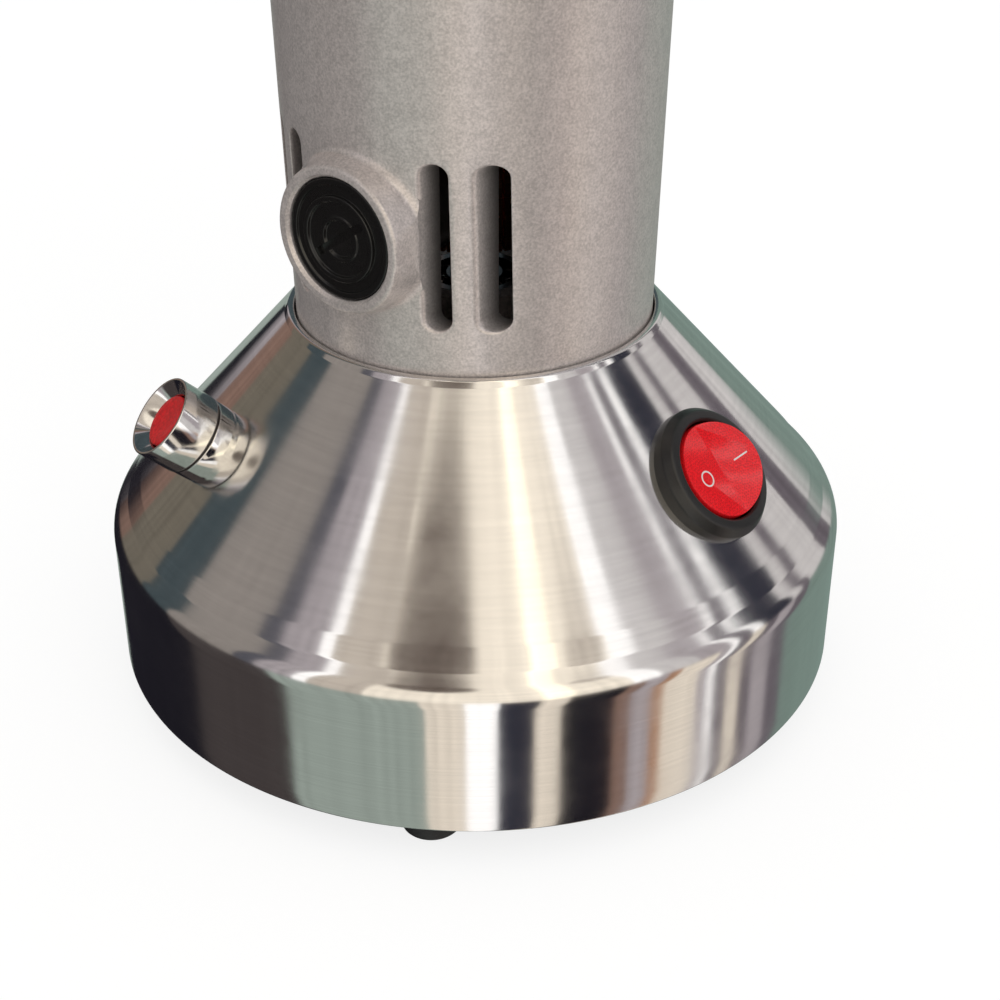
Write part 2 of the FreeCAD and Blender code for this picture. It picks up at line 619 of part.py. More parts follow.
# Levels and places that follow from the sizes
FOOT_CIRCLE = "(base_radius - foot_inset)"
NECK = "(foot_height + base_height)"
NECK_RADIUS = "(housing_radius + neck_gap)"
SLOPE = "((base_height - shoulder_height) / (base_radius - %s))" % NECK_RADIUS
SLOPE_ANGLE = "atan(%s)" % SLOPE
FRAME_TOP = "(%s - spigot_depth)" % NECK
PLATE_TOP = "(foot_height + plate_sheet)"
BRUSH = "(%s + brush_height)" % NECK
STATOR = "(%s + stator_start)" % NECK
STATOR_TOP = "(%s + stator_height)" % STATOR
HOUSING_TOP = "(%s + housing_height)" % NECK
HEAD = "(%s + bearing_plate_thickness)" % HOUSING_TOP
RIM = "(%s + chamber_height)" % HEAD
BLADES = "(%s + blade_start)" % HEAD
CARRIER = "(%s + blade_height)" % BLADES
LOWER_DISC = "(%s + carrier_thickness)" % CARRIER
UPPER_DISC = "(%s + disc_thickness + grinding_gap)" % LOWER_DISC
HOLDER = "(%s + disc_thickness)" % UPPER_DISC
HOLDER_TOP = "(%s + collar_rise)" % RIM
SHOULDER = "(%s + ring_lift - shoulder_gap)" % RIM
WEB_TOP = "(%s + ring_lift + ring_web)" % RIM
HOPPER = HOLDER_TOP
THROAT_TOP = "(%s + hopper_throat_height)" % HOPPER
CONE_TOP = "(%s + hopper_cone_height)" % THROAT_TOP
HOPPER_RIM = "(%s + hopper_wall_height)" % CONE_TOP
LOWER_BEARING = "(%s + bracket_thickness)" % FRAME_TOP
UPPER_BEARING = "(%s - upper_bearing_width)" % HEAD
SHAFT_TOP = "(%s + feed_height + nut_height - nut_cover)" % LOWER_DISC
TAPER = "tan(housing_taper)"


def on_cone(angle):
    """Placement of a control: Z is the cone's outward normal and Y runs up the cone."""
    return around(angle, at(y="-(%s + control_run * cos(%s))" % (NECK_RADIUS, SLOPE_ANGLE),
                            z="%s - control_run * sin(%s)" % (NECK, SLOPE_ANGLE),
                            axis="1;0;0", angle=SLOPE_ANGLE))


def screws(name, radius, head_radius, head_height, grip, places):
    """Socket screws that hang down from the underside of their heads."""
    parts = []
    for i, place in enumerate(places):
        shank = cylinder("%s_shank_%d" % (name, i + 1), radius, grip, at(z="-(%s)" % grip))
        head = cylinder("%s_head_%d" % (name, i + 1), head_radius, head_height)
        drive = prism("%s_drive_%d" % (name, i + 1), 6, "(%s) * 0.5" % head_radius, "slot_depth",
                      at(z="(%s) - slot_depth" % head_height))
        screw = cut("%s_%d" % (name, i + 1), fuse("%s_blank_%d" % (name, i + 1), [shank, head]), [drive])
        parts.append(put(screw, place))
    return node(group(name, parts), name)


# Base shell
shell_outline = [
    ("base_radius", "foot_height"),
    ("base_radius", "foot_height + shoulder_height"),
    (NECK_RADIUS + " + lip_width", "%s - lip_width * %s" % (NECK, SLOPE)),
    (NECK_RADIUS, "%s - lip_width * %s + lip_rise" % (NECK, SLOPE)),
    (NECK_RADIUS, "%s - shell_sheet / cos(%s) - lip_rise" % (NECK, SLOPE_ANGLE)),
    ("base_radius - shell_sheet",
     "foot_height + shoulder_height + shell_sheet * (%s - 1 / cos(%s))" % (SLOPE, SLOPE_ANGLE)),
    ("base_radius - shell_sheet", "foot_height"),
]
shell = turned("base_shell_turned", shell_outline)
shoulder = sizes.get("foot_height") + sizes.get("shoulder_height")
rounded(shell, "shoulder_round", circle_at(sizes.get("base_radius"), shoulder))
switch_hole = cylinder("switch_hole", "barrel_radius + panel_gap", "cutter_reach",
                       on_cone("control_angle") + " * " + at(z="-cutter_reach / 2"))
protector_hole = cylinder("protector_hole", "protector_neck + panel_gap", "cutter_reach",
                          on_cone("-control_angle") + " * " + at(z="-cutter_reach / 2"))
gland_hole = cylinder("gland_hole", "gland_radius + panel_gap", "cutter_reach",
                      at(y="base_radius - cutter_reach / 2", z="foot_height + gland_height",
                         axis="1;0;0", angle="-90"))
node(cut("base_shell", shell, [switch_hole, protector_hole, gland_hole]), "base_shell")

# Bottom plate
plate = cylinder("bottom_plate_disc", "base_radius - shell_sheet - plate_gap", "plate_sheet",
                 at(z="foot_height"))
plate_holes = [cylinder("plate_vent_%d" % i, "vent_radius", "plate_sheet",
                        around("360 / vent_count * (%d + 0.5)" % i, at(y="-vent_circle", z="foot_height")))
               for i in range(count("vent_count"))]
FEET = ["360 / foot_count * %d" % i for i in range(count("foot_count"))]
plate_holes += [cylinder("plate_screw_hole_%d" % i, "screw_radius + screw_gap", "plate_sheet",
                         around(angle, at(y="-" + FOOT_CIRCLE, z="foot_height")))
                for i, angle in enumerate(FEET)]
node(cut("bottom_plate", plate, plate_holes), "bottom_plate")

# Rubber feet and their screws
feet = []
for i, angle in enumerate(FEET):
    blank = cone("foot_blank_%d" % i, "foot_bottom_radius", "foot_top_radius", "foot_height")
    recess = cylinder("foot_recess_%d" % i, "foot_recess_radius", "foot_recess_depth")
    hole = cylinder("foot_hole_%d" % i, "screw_radius + screw_gap", "foot_height")
    foot = cut("foot_%d" % i, blank, [recess, hole])
    feet.append(put(foot, around(angle, at(y="-" + FOOT_CIRCLE))))
node(group("rubber_feet", feet), "rubber_feet")
screws("foot_screws", "screw_radius", "screw_head_radius", "screw_head_height",
       "foot_height - foot_recess_depth + plate_sheet + foot_screw_grip",
       [around(angle, at(y="-" + FOOT_CIRCLE, z="foot_recess_depth", axis="1;0;0", angle="180"))
        for angle in FEET])

# Support frame: a ring under the neck on legs that stand on the bottom plate
RING_BOTTOM = "(%s - ring_thickness)" % FRAME_TOP
LEG_START = "(%s - leg_foot_width / 2)" % FOOT_CIRCLE
LEG_END = "(%s + leg_foot_width / 2)" % FOOT_CIRCLE
leg_outline = [
    ("ring_inner_radius + leg_root", RING_BOTTOM + " + leg_rise"),
    ("ring_outer_radius", RING_BOTTOM + " + leg_rise"),
    (LEG_END, PLATE_TOP + " + leg_shoulder"),
    (LEG_END, PLATE_TOP),
    (LEG_START, PLATE_TOP),
    (LEG_START, PLATE_TOP + " + leg_inner_shoulder"),
]
frame_parts = [tube("support_ring", "ring_outer_radius", "ring_inner_radius", "ring_thickness",
                    at(z=RING_BOTTOM))]
for i, angle in enumerate(FEET):
    frame_parts.append(slab("frame_leg_%d" % i, "XZ_Plane", leg_outline, "leg_width",
                            at(angle="(%s) - 90" % angle)))
frame_holes = [cylinder("frame_tap_%d" % i, "screw_radius + thread_gap", "foot_screw_grip + tap_gap",
                        around(angle, at(y="-" + FOOT_CIRCLE, z=PLATE_TOP)))
               for i, angle in enumerate(FEET)]
FRAME_SCREWS = ["360 / foot_count * (%d + 0.5)" % i for i in range(count("foot_count"))]
FRAME_CIRCLE = "((housing_radius + housing_seat) / 2)"
frame_holes += [cylinder("frame_hole_%d" % i, "screw_radius + screw_gap", "ring_thickness",
                         around(angle, at(y="-" + FRAME_CIRCLE, z=RING_BOTTOM)))
                for i, angle in enumerate(FRAME_SCREWS)]
node(cut("support_frame", fuse("support_frame_blank", frame_parts), frame_holes), "support_frame")
screws("frame_screws", "small_screw_radius", "small_head_radius", "screw_head_height", "frame_screw_length",
       [around(angle, at(y="-" + FRAME_CIRCLE, z=RING_BOTTOM, axis="1;0;0", angle="180"))
        for angle in FRAME_SCREWS])

# Motor housing with its bosses, slots and flange
FLANGE_LOW = "(%s - flange_thickness)" % HOUSING_TOP
housing_outline = [
    ("housing_seat", FRAME_TOP),
    ("housing_radius", FRAME_TOP),
    ("housing_radius", NECK),
    ("housing_radius + %s * (housing_height - flange_thickness - flange_slant)" % TAPER,
     FLANGE_LOW + " - flange_slant"),
    ("flange_radius", FLANGE_LOW),
    ("flange_radius", HOUSING_TOP),
    ("fan_bore", HOUSING_TOP),
    ("fan_bore", STATOR_TOP),
    ("stator_radius + seat_gap", STATOR_TOP),
    ("stator_radius + seat_gap", STATOR),
    ("housing_bore", STATOR),
    ("housing_bore", FRAME_TOP + " + bracket_thickness + thread_gap"),
    ("housing_seat", FRAME_TOP + " + bracket_thickness + thread_gap"),
]
housing_body = turned("housing_turned", housing_outline)
BRUSHES = [("left", "brush_angle"), ("right", "brush_angle + 180")]


def radial(angle, start, height):
    """Placement whose Z points outwards from the machine's axis."""
    return around(angle, at(y="-(%s)" % start, z=height, axis="1;0;0", angle="90"))


bosses = [cylinder("boss_%s" % side, "boss_radius", "boss_reach - housing_bore - boss_root",
                   radial(angle, "housing_bore + boss_root", BRUSH)) for side, angle in BRUSHES]
housing_tools = []
# The air slots are drawn parallel to the brush axis, as the die pulls them
SLOT_OFFSETS = ("-slot_outer_angle", "-slot_inner_angle", "slot_inner_angle", "slot_outer_angle")
for side, angle in BRUSHES:
    housing_tools.append(cylinder("cap_bore_" + side, "cap_radius + cap_gap", "cutter_reach",
                                  radial(angle, "boss_reach - cap_inset - cap_thickness", BRUSH)))
    housing_tools.append(cylinder("holder_bore_" + side, "holder_radius + cap_gap", "cutter_reach",
                                  radial(angle, "housing_bore - cutter_reach / 2", BRUSH)))
    for i, offset in enumerate(SLOT_OFFSETS):
        name = "air_slot_%s_%d" % (side, i)
        half = "(slot_length - slot_width) / 2"
        middle = "%s + slot_middle" % NECK
        across = "housing_radius * sin(%s)" % offset
        housing_tools.append(box(name, "slot_width", "housing_radius", "slot_length - slot_width",
                                 around(angle, at(x=across + " - slot_width / 2",
                                                  y="-(housing_radius + slot_root)",
                                                  z="%s - %s" % (middle, half)))))
        for end, sign in (("low", "-"), ("high", "+")):
            housing_tools.append(cylinder(name + "_" + end, "slot_width / 2", "housing_radius",
                                          around(angle, at(x=across, y="-slot_root",
                                                           z="%s %s %s" % (middle, sign, half),
                                                           axis="1;0;0", angle="90"))))
for i in range(count("exhaust_count")):
    turn = "360 / exhaust_count * %d" % i
    housing_tools.append(box("exhaust_%d" % i, "exhaust_width", "cutter_reach", "exhaust_length",
                             around(turn, at(x="-exhaust_width / 2", y="-(fan_bore + cutter_reach / 2)",
                                             z="%s + fan_start - exhaust_drop" % NECK))))
HEAD_SCREWS = ["360 / head_screw_count * (%d + 0.5)" % i for i in range(count("head_screw_count"))]
for i, angle in enumerate(HEAD_SCREWS):
    housing_tools.append(cylinder("housing_tap_%d" % i, "head_screw_radius + thread_gap",
                                  "flange_thickness + flange_slant",
                                  around(angle, at(y="-head_screw_circle",
                                                   z=FLANGE_LOW + " - flange_slant"))))
for i, angle in enumerate(FRAME_SCREWS):
    housing_tools.append(cylinder("spigot_tap_%d" % i, "small_screw_radius + thread_gap",
                                  "frame_screw_length",
                                  around(angle, at(y="-" + FRAME_CIRCLE, z=RING_BOTTOM))))
node(cut("motor_housing", fuse("housing_blank", [housing_body] + bosses), housing_tools), "motor_housing")

# Brush caps, holders, brushes and springs
HOLDER_END = "(boss_reach - cap_inset - cap_thickness)"
BRUSH_END = "(commutator_radius + running_gap + brush_length)"
caps = []
holders = []
brushes = []
brush_springs = []
for side, angle in BRUSHES:
    disc = cylinder("cap_disc_" + side, "cap_radius", "cap_thickness")
    ridge = tube("cap_ridge_" + side, "ridge_outer", "ridge_inner", "ridge_height", at(z="cap_thickness"))
    drive = box("cap_drive_" + side, "coin_slot_length", "coin_slot_width", "slot_depth",
                at(x="-coin_slot_length / 2", y="-coin_slot_width / 2", z="cap_thickness - slot_depth"))
    cap = cut("brush_cap_" + side, fuse("cap_blank_" + side, [disc, ridge]), [drive])
    caps.append(put(cap, radial(angle, HOLDER_END, BRUSH)))

    sleeve = cylinder("holder_sleeve_" + side, "holder_radius", HOLDER_END + " - holder_start")
    window = box("holder_window_" + side, "brush_width + 2 * brush_gap", "brush_tall + 2 * brush_gap",
                 HOLDER_END,
                 at(x="-(brush_width / 2 + brush_gap)", y="-(brush_tall / 2 + brush_gap)"))
    holder = cut("brush_holder_" + side, sleeve, [window])
    holders.append(put(holder, radial(angle, "holder_start", BRUSH)))

    block = box("brush_block_" + side, "brush_width", "brush_tall", "brush_length + brush_hollow",
                radial(angle, "commutator_radius - brush_hollow + running_gap", BRUSH)
                + " * " + at(x="-brush_width / 2", y="-brush_tall / 2"))
    track = cylinder("brush_track_" + side, "commutator_radius + running_gap", "commutator_height",
                     at(z=BRUSH + " - commutator_height / 2"))
    brushes.append(cut("carbon_brush_" + side, block, [track]))

    brush_springs.append(spring("brush_spring_" + side, "spring_radius", "spring_wire",
                                "%s - %s - 2 * (spring_wire + spring_gap)" % (HOLDER_END, BRUSH_END),
                                "spring_turns",
                                radial(angle, BRUSH_END + " + spring_wire + spring_gap", BRUSH)))
node(group("brush_caps", caps), "brush_caps")
node(group("brush_holders", holders), "brush_holders")
node(group("carbon_brushes", brushes), "carbon_brushes")
node(group("brush_springs", brush_springs), "brush_springs")

# Stator, field coils, armature and commutator
stack = tube("stator_stack", "stator_radius", "armature_radius + air_gap", "stator_height", at(z=STATOR))
window_ring = tube("stator_window", "yoke_radius", "armature_radius", "stator_height", at(z=STATOR))
poles = box("stator_poles", "pole_width", "2 * stator_radius", "stator_height",
            at(x="-pole_width / 2", y="-stator_radius", z=STATOR))
node(cut("stator_core", stack, [cut("stator_windows", window_ring, [poles])]), "stator_core")
coils = []
for side, turn in (("front", "0"), ("rear", "180")):
    coil_ring = tube("coil_ring_" + side, "yoke_radius - coil_gap", "armature_radius + air_gap + coil_gap",
                     "stator_height + 2 * coil_overhang", at(z=STATOR + " - coil_overhang"))
    far_half = box("coil_far_" + side, "2 * stator_radius", "2 * stator_radius",
                   "stator_height + 2 * coil_overhang",
                   at(x="-stator_radius", y="-coil_part", z=STATOR + " - coil_overhang"))
    around_pole = box("coil_pole_" + side, "pole_width + 2 * coil_gap", "stator_radius",
                      "stator_height + 2 * coil_gap",
                      at(x="-pole_width / 2 - coil_gap", y="-stator_radius", z=STATOR + " - coil_gap"))
    coils.append(put(cut("field_coil_" + side, coil_ring, [far_half, around_pole]), at(angle=turn)))
node(group("field_coils", coils), "field_coils")

core = tube("armature_stack", "armature_radius", "shaft_radius + seat_gap", "stator_height", at(z=STATOR))
slots = []
wires = []
for i in range(count("armature_slots")):
    turn = "360 / armature_slots * %d" % i
    slots.append(cylinder("armature_slot_%d" % i, "armature_slot_radius", "stator_height",
                          around(turn, at(y="-armature_slot_circle", z=STATOR))))
    slots.append(box("armature_mouth_%d" % i, "mouth_width", "armature_radius - armature_slot_circle",
                     "stator_height", around(turn, at(x="-mouth_width / 2", y="-armature_radius", z=STATOR))))
    wires.append(cylinder("slot_wires_%d" % i, "armature_slot_radius - wire_slack",
                          "stator_height + 2 * winding_overhang",
                          around(turn, at(y="-armature_slot_circle", z=STATOR + " - winding_overhang"))))
node(cut("armature_core", core, slots), "armature_core")
ends = [tube("winding_end_%d" % i, "winding_radius", "shaft_radius + winding_bore_gap",
             "winding_overhang - winding_gap", at(z=level))
        for i, level in enumerate((STATOR + " - winding_overhang", STATOR_TOP + " + winding_gap"))]
node(fuse("armature_windings", ends + wires), "armature_windings")

bars = tube("commutator_ring", "commutator_radius", "shaft_radius + seat_gap", "commutator_height",
            at(z=BRUSH + " - commutator_height / 2"))
slits = [box("bar_slit_%d" % i, "bar_slit", "2 * slit_depth", "commutator_height",
             around("360 / commutator_bars * %d" % i,
                    at(x="-bar_slit / 2", y="-commutator_radius - slit_depth",
                       z=BRUSH + " - commutator_height / 2")))
         for i in range(count("commutator_bars"))]
node(cut("commutator", bars, slits), "commutator")

# Rotor shaft, from the lower bearing to the lock nut
shaft_outline = [
    ("0", LOWER_BEARING + " - shaft_tail"),
    ("lower_journal", LOWER_BEARING + " - shaft_tail"),
    ("lower_journal", LOWER_BEARING + " + lower_bearing_width"),
    ("shaft_radius", LOWER_BEARING + " + lower_bearing_width"),
    ("shaft_radius", "%s + fan_start + fan_height" % NECK),
    ("upper_journal + shaft_collar", "%s + fan_start + fan_height" % NECK),
    ("upper_journal + shaft_collar", UPPER_BEARING),
    ("upper_journal", UPPER_BEARING),
    ("upper_journal", LOWER_DISC + " + shaft_shoulder"),
    ("lock_thread", LOWER_DISC + " + shaft_shoulder"),
    ("lock_thread", SHAFT_TOP),
    ("0", SHAFT_TOP),
]
node(turned("rotor_shaft", shaft_outline), "rotor_shaft")

# Cooling fan
FAN = "(%s + fan_start)" % NECK
fan_parts = [cylinder("fan_hub", "fan_hub_radius", "fan_height", at(z=FAN)),
             cylinder("fan_disc", "fan_radius", "fan_plate", at(z=FAN))]
for i in range(count("fan_blades")):
    fan_parts.append(box("fan_blade_%d" % i, "fan_blade_sheet", "fan_radius - fan_hub_radius",
                         "fan_blade_height",
                         around("360 / fan_blades * %d" % i,
                                at(x="-fan_blade_sheet / 2", y="-fan_radius + fan_blade_inset", z=FAN))))
fan_bore = cylinder("fan_bore_hole", "shaft_radius + seat_gap", "fan_height", at(z=FAN))
node(cut("cooling_fan", fuse("fan_blank", fan_parts), [fan_bore]), "cooling_fan")


bearing_outer_rings = []
bearing_inner_rings = []
bearing_balls = []


def bearing(name, journal, outer, width, level):
    """Ball bearing: two rings and a set of balls."""
    depth = "(%s - %s)" % (outer, journal)
    inner_face = "(%s + %s * race_share)" % (journal, depth)
    outer_face = "(%s - %s * race_share)" % (outer, depth)
    place = at(z=level)
    bearing_outer_rings.append(tube(name + "_outer_ring", outer, outer_face, width, place))
    bearing_inner_rings.append(tube(name + "_inner_ring", inner_face, journal + " + seat_gap", width, place))
    middle = at(y="-(%s + %s) / 2" % (outer_face, inner_face), z="%s + %s / 2" % (level, width))
    for i in range(count("ball_count")):
        bearing_balls.append(sphere("%s_ball_%d" % (name, i),
                                    "(%s - %s) / 2 - ball_gap" % (outer_face, inner_face),
                                    around("360 / ball_count * %d" % i, middle)))


bearing("lower_bearing", "lower_journal", "lower_bearing_radius", "lower_bearing_width", LOWER_BEARING)
bearing("upper_bearing", "upper_journal", "upper_bearing_radius", "upper_bearing_width", UPPER_BEARING)
node(group("bearing_outer_rings", bearing_outer_rings), "bearing_outer_rings")
node(group("bearing_inner_rings", bearing_inner_rings), "bearing_inner_rings")
node(group("bearing_balls", bearing_balls), "bearing_balls")

# Lower bearing bracket
BRACKET_HUB = "(lower_bearing_radius + bracket_hub_wall)"
bracket_outline = [
    ("lower_journal + shaft_clearance", FRAME_TOP),
    ("housing_seat - bracket_gap", FRAME_TOP),
    ("housing_seat - bracket_gap", FRAME_TOP + " + bracket_thickness"),
    (BRACKET_HUB, FRAME_TOP + " + bracket_thickness"),
    (BRACKET_HUB, LOWER_BEARING + " + lower_bearing_width"),
    ("lower_bearing_radius + seat_gap", LOWER_BEARING + " + lower_bearing_width"),
    ("lower_bearing_radius + seat_gap", LOWER_BEARING),
    ("lower_journal + shaft_clearance", LOWER_BEARING),
]
bracket = turned("lower_bracket_turned", bracket_outline)
windows = [cylinder("bracket_window_%d" % i, "bracket_window_radius", "bracket_thickness",
                    around("360 / bracket_windows * %d" % i, at(y="-bracket_window_circle", z=FRAME_TOP)))
           for i in range(count("bracket_windows"))]
node(cut("lower_bearing_bracket", bracket, windows), "lower_bearing_bracket")

# Upper bearing plate
UPPER_HUB = "(upper_bearing_radius + bracket_hub_wall)"
bearing_plate_outline = [
    ("upper_journal + shaft_clearance", UPPER_BEARING + " - bearing_floor"),
    (UPPER_HUB, UPPER_BEARING + " - bearing_floor"),
    (UPPER_HUB, HOUSING_TOP),
    ("flange_radius", HOUSING_TOP),
    ("flange_radius", HEAD),
    ("upper_bearing_radius + seat_gap", HEAD),
    ("upper_bearing_radius + seat_gap", UPPER_BEARING),
    ("upper_journal + shaft_clearance", UPPER_BEARING),
]
plate_turned = turned("bearing_plate_turned", bearing_plate_outline)
plate_taps = [cylinder("plate_hole_%d" % i, "head_screw_radius + screw_gap", "bearing_plate_thickness",
                       around(angle, at(y="-head_screw_circle", z=HOUSING_TOP)))
              for i, angle in enumerate(HEAD_SCREWS)]
node(cut("upper_bearing_plate", plate_turned, plate_taps), "upper_bearing_plate")

# Grinding chamber
CHAMBER_BORE = "(chamber_radius - chamber_wall)"
chamber_outline = [
    ("seal_radius + seat_gap", HEAD),
    ("flange_radius", HEAD),
    ("flange_radius", HEAD + " + chamber_flange"),
    ("chamber_radius", HEAD + " + chamber_flange"),
    ("chamber_radius", RIM),
    (CHAMBER_BORE, RIM),
    (CHAMBER_BORE, HEAD + " + chamber_floor"),
    ("seal_radius + seal_wall", HEAD + " + chamber_floor"),
    ("seal_radius + seal_wall", HEAD + " + seal_height"),
    ("seal_radius + seat_gap", HEAD + " + seal_height"),
]
chamber_turned = turned("chamber_turned", chamber_outline)
pad = box("spout_pad", "pad_width", "pad_reach - chamber_radius + chamber_wall / 2", "spout_top + pad_rise",
          at(x="-pad_width / 2", y="-pad_reach", z=HEAD))
pad_inside = cylinder("pad_inside", CHAMBER_BORE, "chamber_height", at(z=HEAD))
chamber_blank = fuse("chamber_blank", [chamber_turned, cut("spout_pad_cut", pad, [pad_inside])])
SPOUT_INNER = "(spout_width - 2 * spout_wall)"
chamber_tools = [box("outlet", SPOUT_INNER, "2 * cutter_reach", "spout_top - spout_wall - chamber_floor",
                     at(x="-%s / 2" % SPOUT_INNER, y="-(pad_reach + cutter_reach / 2)",
                        z=HEAD + " + chamber_floor"))]
SPOUT_SCREW_Z = "(%s + (spout_top + pad_rise) / 2)" % HEAD
for i, side in enumerate(("-", "")):
    chamber_tools.append(cylinder("spout_tap_%d" % i, "small_screw_radius + thread_gap",
                                  "spout_screw_grip + tap_gap",
                                  at(x=side + "spout_screw_side", y="-pad_reach + spout_screw_grip + tap_gap",
                                     z=SPOUT_SCREW_Z, axis="1;0;0", angle="90")))
chamber_tools.append(box("flange_notch", "pad_width + 2 * spout_clearance", "cutter_reach", "chamber_height",
                         at(x="-pad_width / 2 - spout_clearance", y="-pad_reach - cutter_reach", z=HEAD)))
for i, angle in enumerate(HEAD_SCREWS):
    chamber_tools.append(cylinder("chamber_hole_%d" % i, "head_screw_radius + screw_gap", "chamber_flange",
                                  around(angle, at(y="-head_screw_circle", z=HEAD))))
GUIDE_Z = "(%s - pin_drop)" % RIM
for i, angle in enumerate(("90", "270")):
    chamber_tools.append(cylinder("guide_hole_%d" % i, "pin_radius + thread_gap", "cutter_reach",
                                  radial(angle, CHAMBER_BORE + " - pin_reach", GUIDE_Z)))
node(cut("grinding_chamber", chamber_blank, chamber_tools), "grinding_chamber")
pins = [cylinder("guide_pin_%d" % i, "pin_radius", "pin_reach + chamber_wall - pin_inset",
                 radial(angle, CHAMBER_BORE + " - pin_reach", GUIDE_Z))
        for i, angle in enumerate(("90", "270"))]
node(group("guide_pins", pins), "guide_pins")

# Head screws: through the chamber's flange and the bearing plate into the housing
screws("head_screws", "head_screw_radius", "head_screw_cap_radius", "head_screw_cap_height",
       "chamber_flange + bearing_plate_thickness + head_screw_grip",
       [around(angle, at(y="-head_screw_circle", z=HEAD + " + chamber_flange")) for angle in HEAD_SCREWS])

# Shaft seal
seal_outline = [
    ("upper_journal + running_gap", HEAD),
    ("seal_radius", HEAD),
    ("seal_radius", HEAD + " + seal_height"),
    ("upper_journal + seal_recess", HEAD + " + seal_height"),
    ("upper_journal + seal_recess", HEAD + " + seal_height - seal_lip"),
    ("upper_journal + running_gap", HEAD + " + seal_height - seal_slant"),
]
node(turned("shaft_seal", seal_outline), "shaft_seal")

# Disc carrier with scraper blades
carrier_parts = [cylinder("carrier_plate", "disc_radius", "carrier_thickness", at(z=CARRIER)),
                 cylinder("carrier_hub", "upper_journal + carrier_hub_wall", "blade_height", at(z=BLADES))]
for i in range(count("blade_count")):
    carrier_parts.append(box("scraper_%d" % i, "blade_width", "blade_length", "blade_height",
                             around("360 / blade_count * %d" % i, at(x="-blade_width / 2", y="-disc_radius",
                                                                     z=BLADES))))
DISC_SCREWS = ["360 / disc_screw_count * (%d + 0.25)" % i for i in range(count("disc_screw_count"))]
carrier_tools = [cylinder("carrier_bore", "upper_journal + seat_gap", "blade_height + carrier_thickness",
                          at(z=BLADES))]
for i, angle in enumerate(DISC_SCREWS):
    carrier_tools.append(cylinder("carrier_tap_%d" % i, "screw_radius + thread_gap", "carrier_thickness",
                                  around(angle, at(y="-disc_screw_circle", z=CARRIER))))
node(cut("disc_carrier", fuse("carrier_blank", carrier_parts), carrier_tools), "disc_carrier")


def grinding_disc(name, level, groove_level, sink_level, phase):
    """Grinding disc with slanted grooves and sunk screw holes in its working face."""
    ring = tube(name + "_ring", "disc_radius", "disc_bore", "disc_thickness", at(z=level))
    tools = [box("%s_groove_%d" % (name, i), "groove_width", "disc_radius", "groove_depth",
                 around("360 / groove_count * (%d + %s)" % (i, phase),
                        at(x="groove_offset", y="-disc_radius - groove_width", z=groove_level)))
             for i in range(count("groove_count"))]
    for i, angle in enumerate(DISC_SCREWS):
        tools.append(cylinder("%s_hole_%d" % (name, i), "screw_radius + screw_gap", "disc_thickness",
                              around(angle, at(y="-disc_screw_circle", z=level))))
        tools.append(cylinder("%s_sink_%d" % (name, i), "screw_head_radius + screw_gap", "disc_sink",
                              around(angle, at(y="-disc_screw_circle", z=sink_level))))
    node(cut(name, ring, tools), name)


WORKING_FACE = "(%s + disc_thickness)" % LOWER_DISC
grinding_disc("rotating_disc", LOWER_DISC, WORKING_FACE + " - groove_depth",
              WORKING_FACE + " - disc_sink", "0")
grinding_disc("fixed_disc", UPPER_DISC, UPPER_DISC, UPPER_DISC, "0.5")
DISC_SCREW_LENGTH = "disc_thickness - disc_sink + disc_screw_grip"
screws("rotating_disc_screws", "screw_radius", "screw_head_radius", "screw_head_height", DISC_SCREW_LENGTH,
       [around(angle, at(y="-disc_screw_circle", z=WORKING_FACE + " - disc_sink")) for angle in DISC_SCREWS])
screws("fixed_disc_screws", "screw_radius", "screw_head_radius", "screw_head_height", DISC_SCREW_LENGTH,
       [around(angle, at(y="-disc_screw_circle", z=UPPER_DISC + " + disc_sink", axis="1;0;0", angle="180"))
        for angle in DISC_SCREWS])

# Feed screw and lock nut
feed_parts = [cone("feed_hub", "feed_hub_radius + feed_hub_flare", "feed_hub_radius", "feed_height",
                   at(z=LOWER_DISC))]
for i in range(count("feed_vanes")):
    feed_parts.append(box("feed_vane_%d" % i, "feed_vane_width", "feed_radius", "feed_height - vane_drop",
                          around("360 / feed_vanes * %d" % i,
                                 at(x="-feed_vane_width / 2", y="-feed_radius", z=LOWER_DISC))))
feed_tools = [cylinder("feed_bore", "lock_thread + seat_gap", "feed_height", at(z=LOWER_DISC)),
              cylinder("feed_counterbore", "upper_journal + seat_gap", "shaft_shoulder + seat_gap",
                       at(z=LOWER_DISC))]
node(cut("feed_screw", fuse("feed_blank", feed_parts), feed_tools), "feed_screw")
NUT = "(%s + feed_height)" % LOWER_DISC
nut = prism("lock_nut_blank", 6, "nut_radius", "nut_height", at(z=NUT))
nut_bore = cylinder("lock_nut_bore", "lock_thread + thread_gap", "nut_height - nut_cover", at(z=NUT))
node(cut("lock_nut", nut, [nut_bore]), "lock_nut")

# Disc holder, keyed to the chamber and carried by the adjusting ring
GROOVE_Z = "(%s + shoulder_gap)" % WEB_TOP
holder_outline = [
    ("throat_radius", HOLDER),
    (CHAMBER_BORE + " - collar_gap", HOLDER),
    (CHAMBER_BORE + " - collar_gap", SHOULDER),
    ("collar_radius", SHOULDER),
    ("collar_radius", GROOVE_Z),
    ("collar_radius - circlip_groove", GROOVE_Z),
    ("collar_radius - circlip_groove", GROOVE_Z + " + circlip_thickness"),
    ("collar_radius", GROOVE_Z + " + circlip_thickness"),
    ("collar_radius", HOLDER_TOP),
    ("seal_circle + seal_cord + seal_side_gap", HOLDER_TOP),
    ("seal_circle + seal_cord + seal_side_gap", HOLDER_TOP + " - 2 * seal_cord"),
    ("seal_circle - seal_cord - seal_side_gap", HOLDER_TOP + " - 2 * seal_cord"),
    ("seal_circle - seal_cord - seal_side_gap", HOLDER_TOP),
    ("throat_radius", HOLDER_TOP),
]
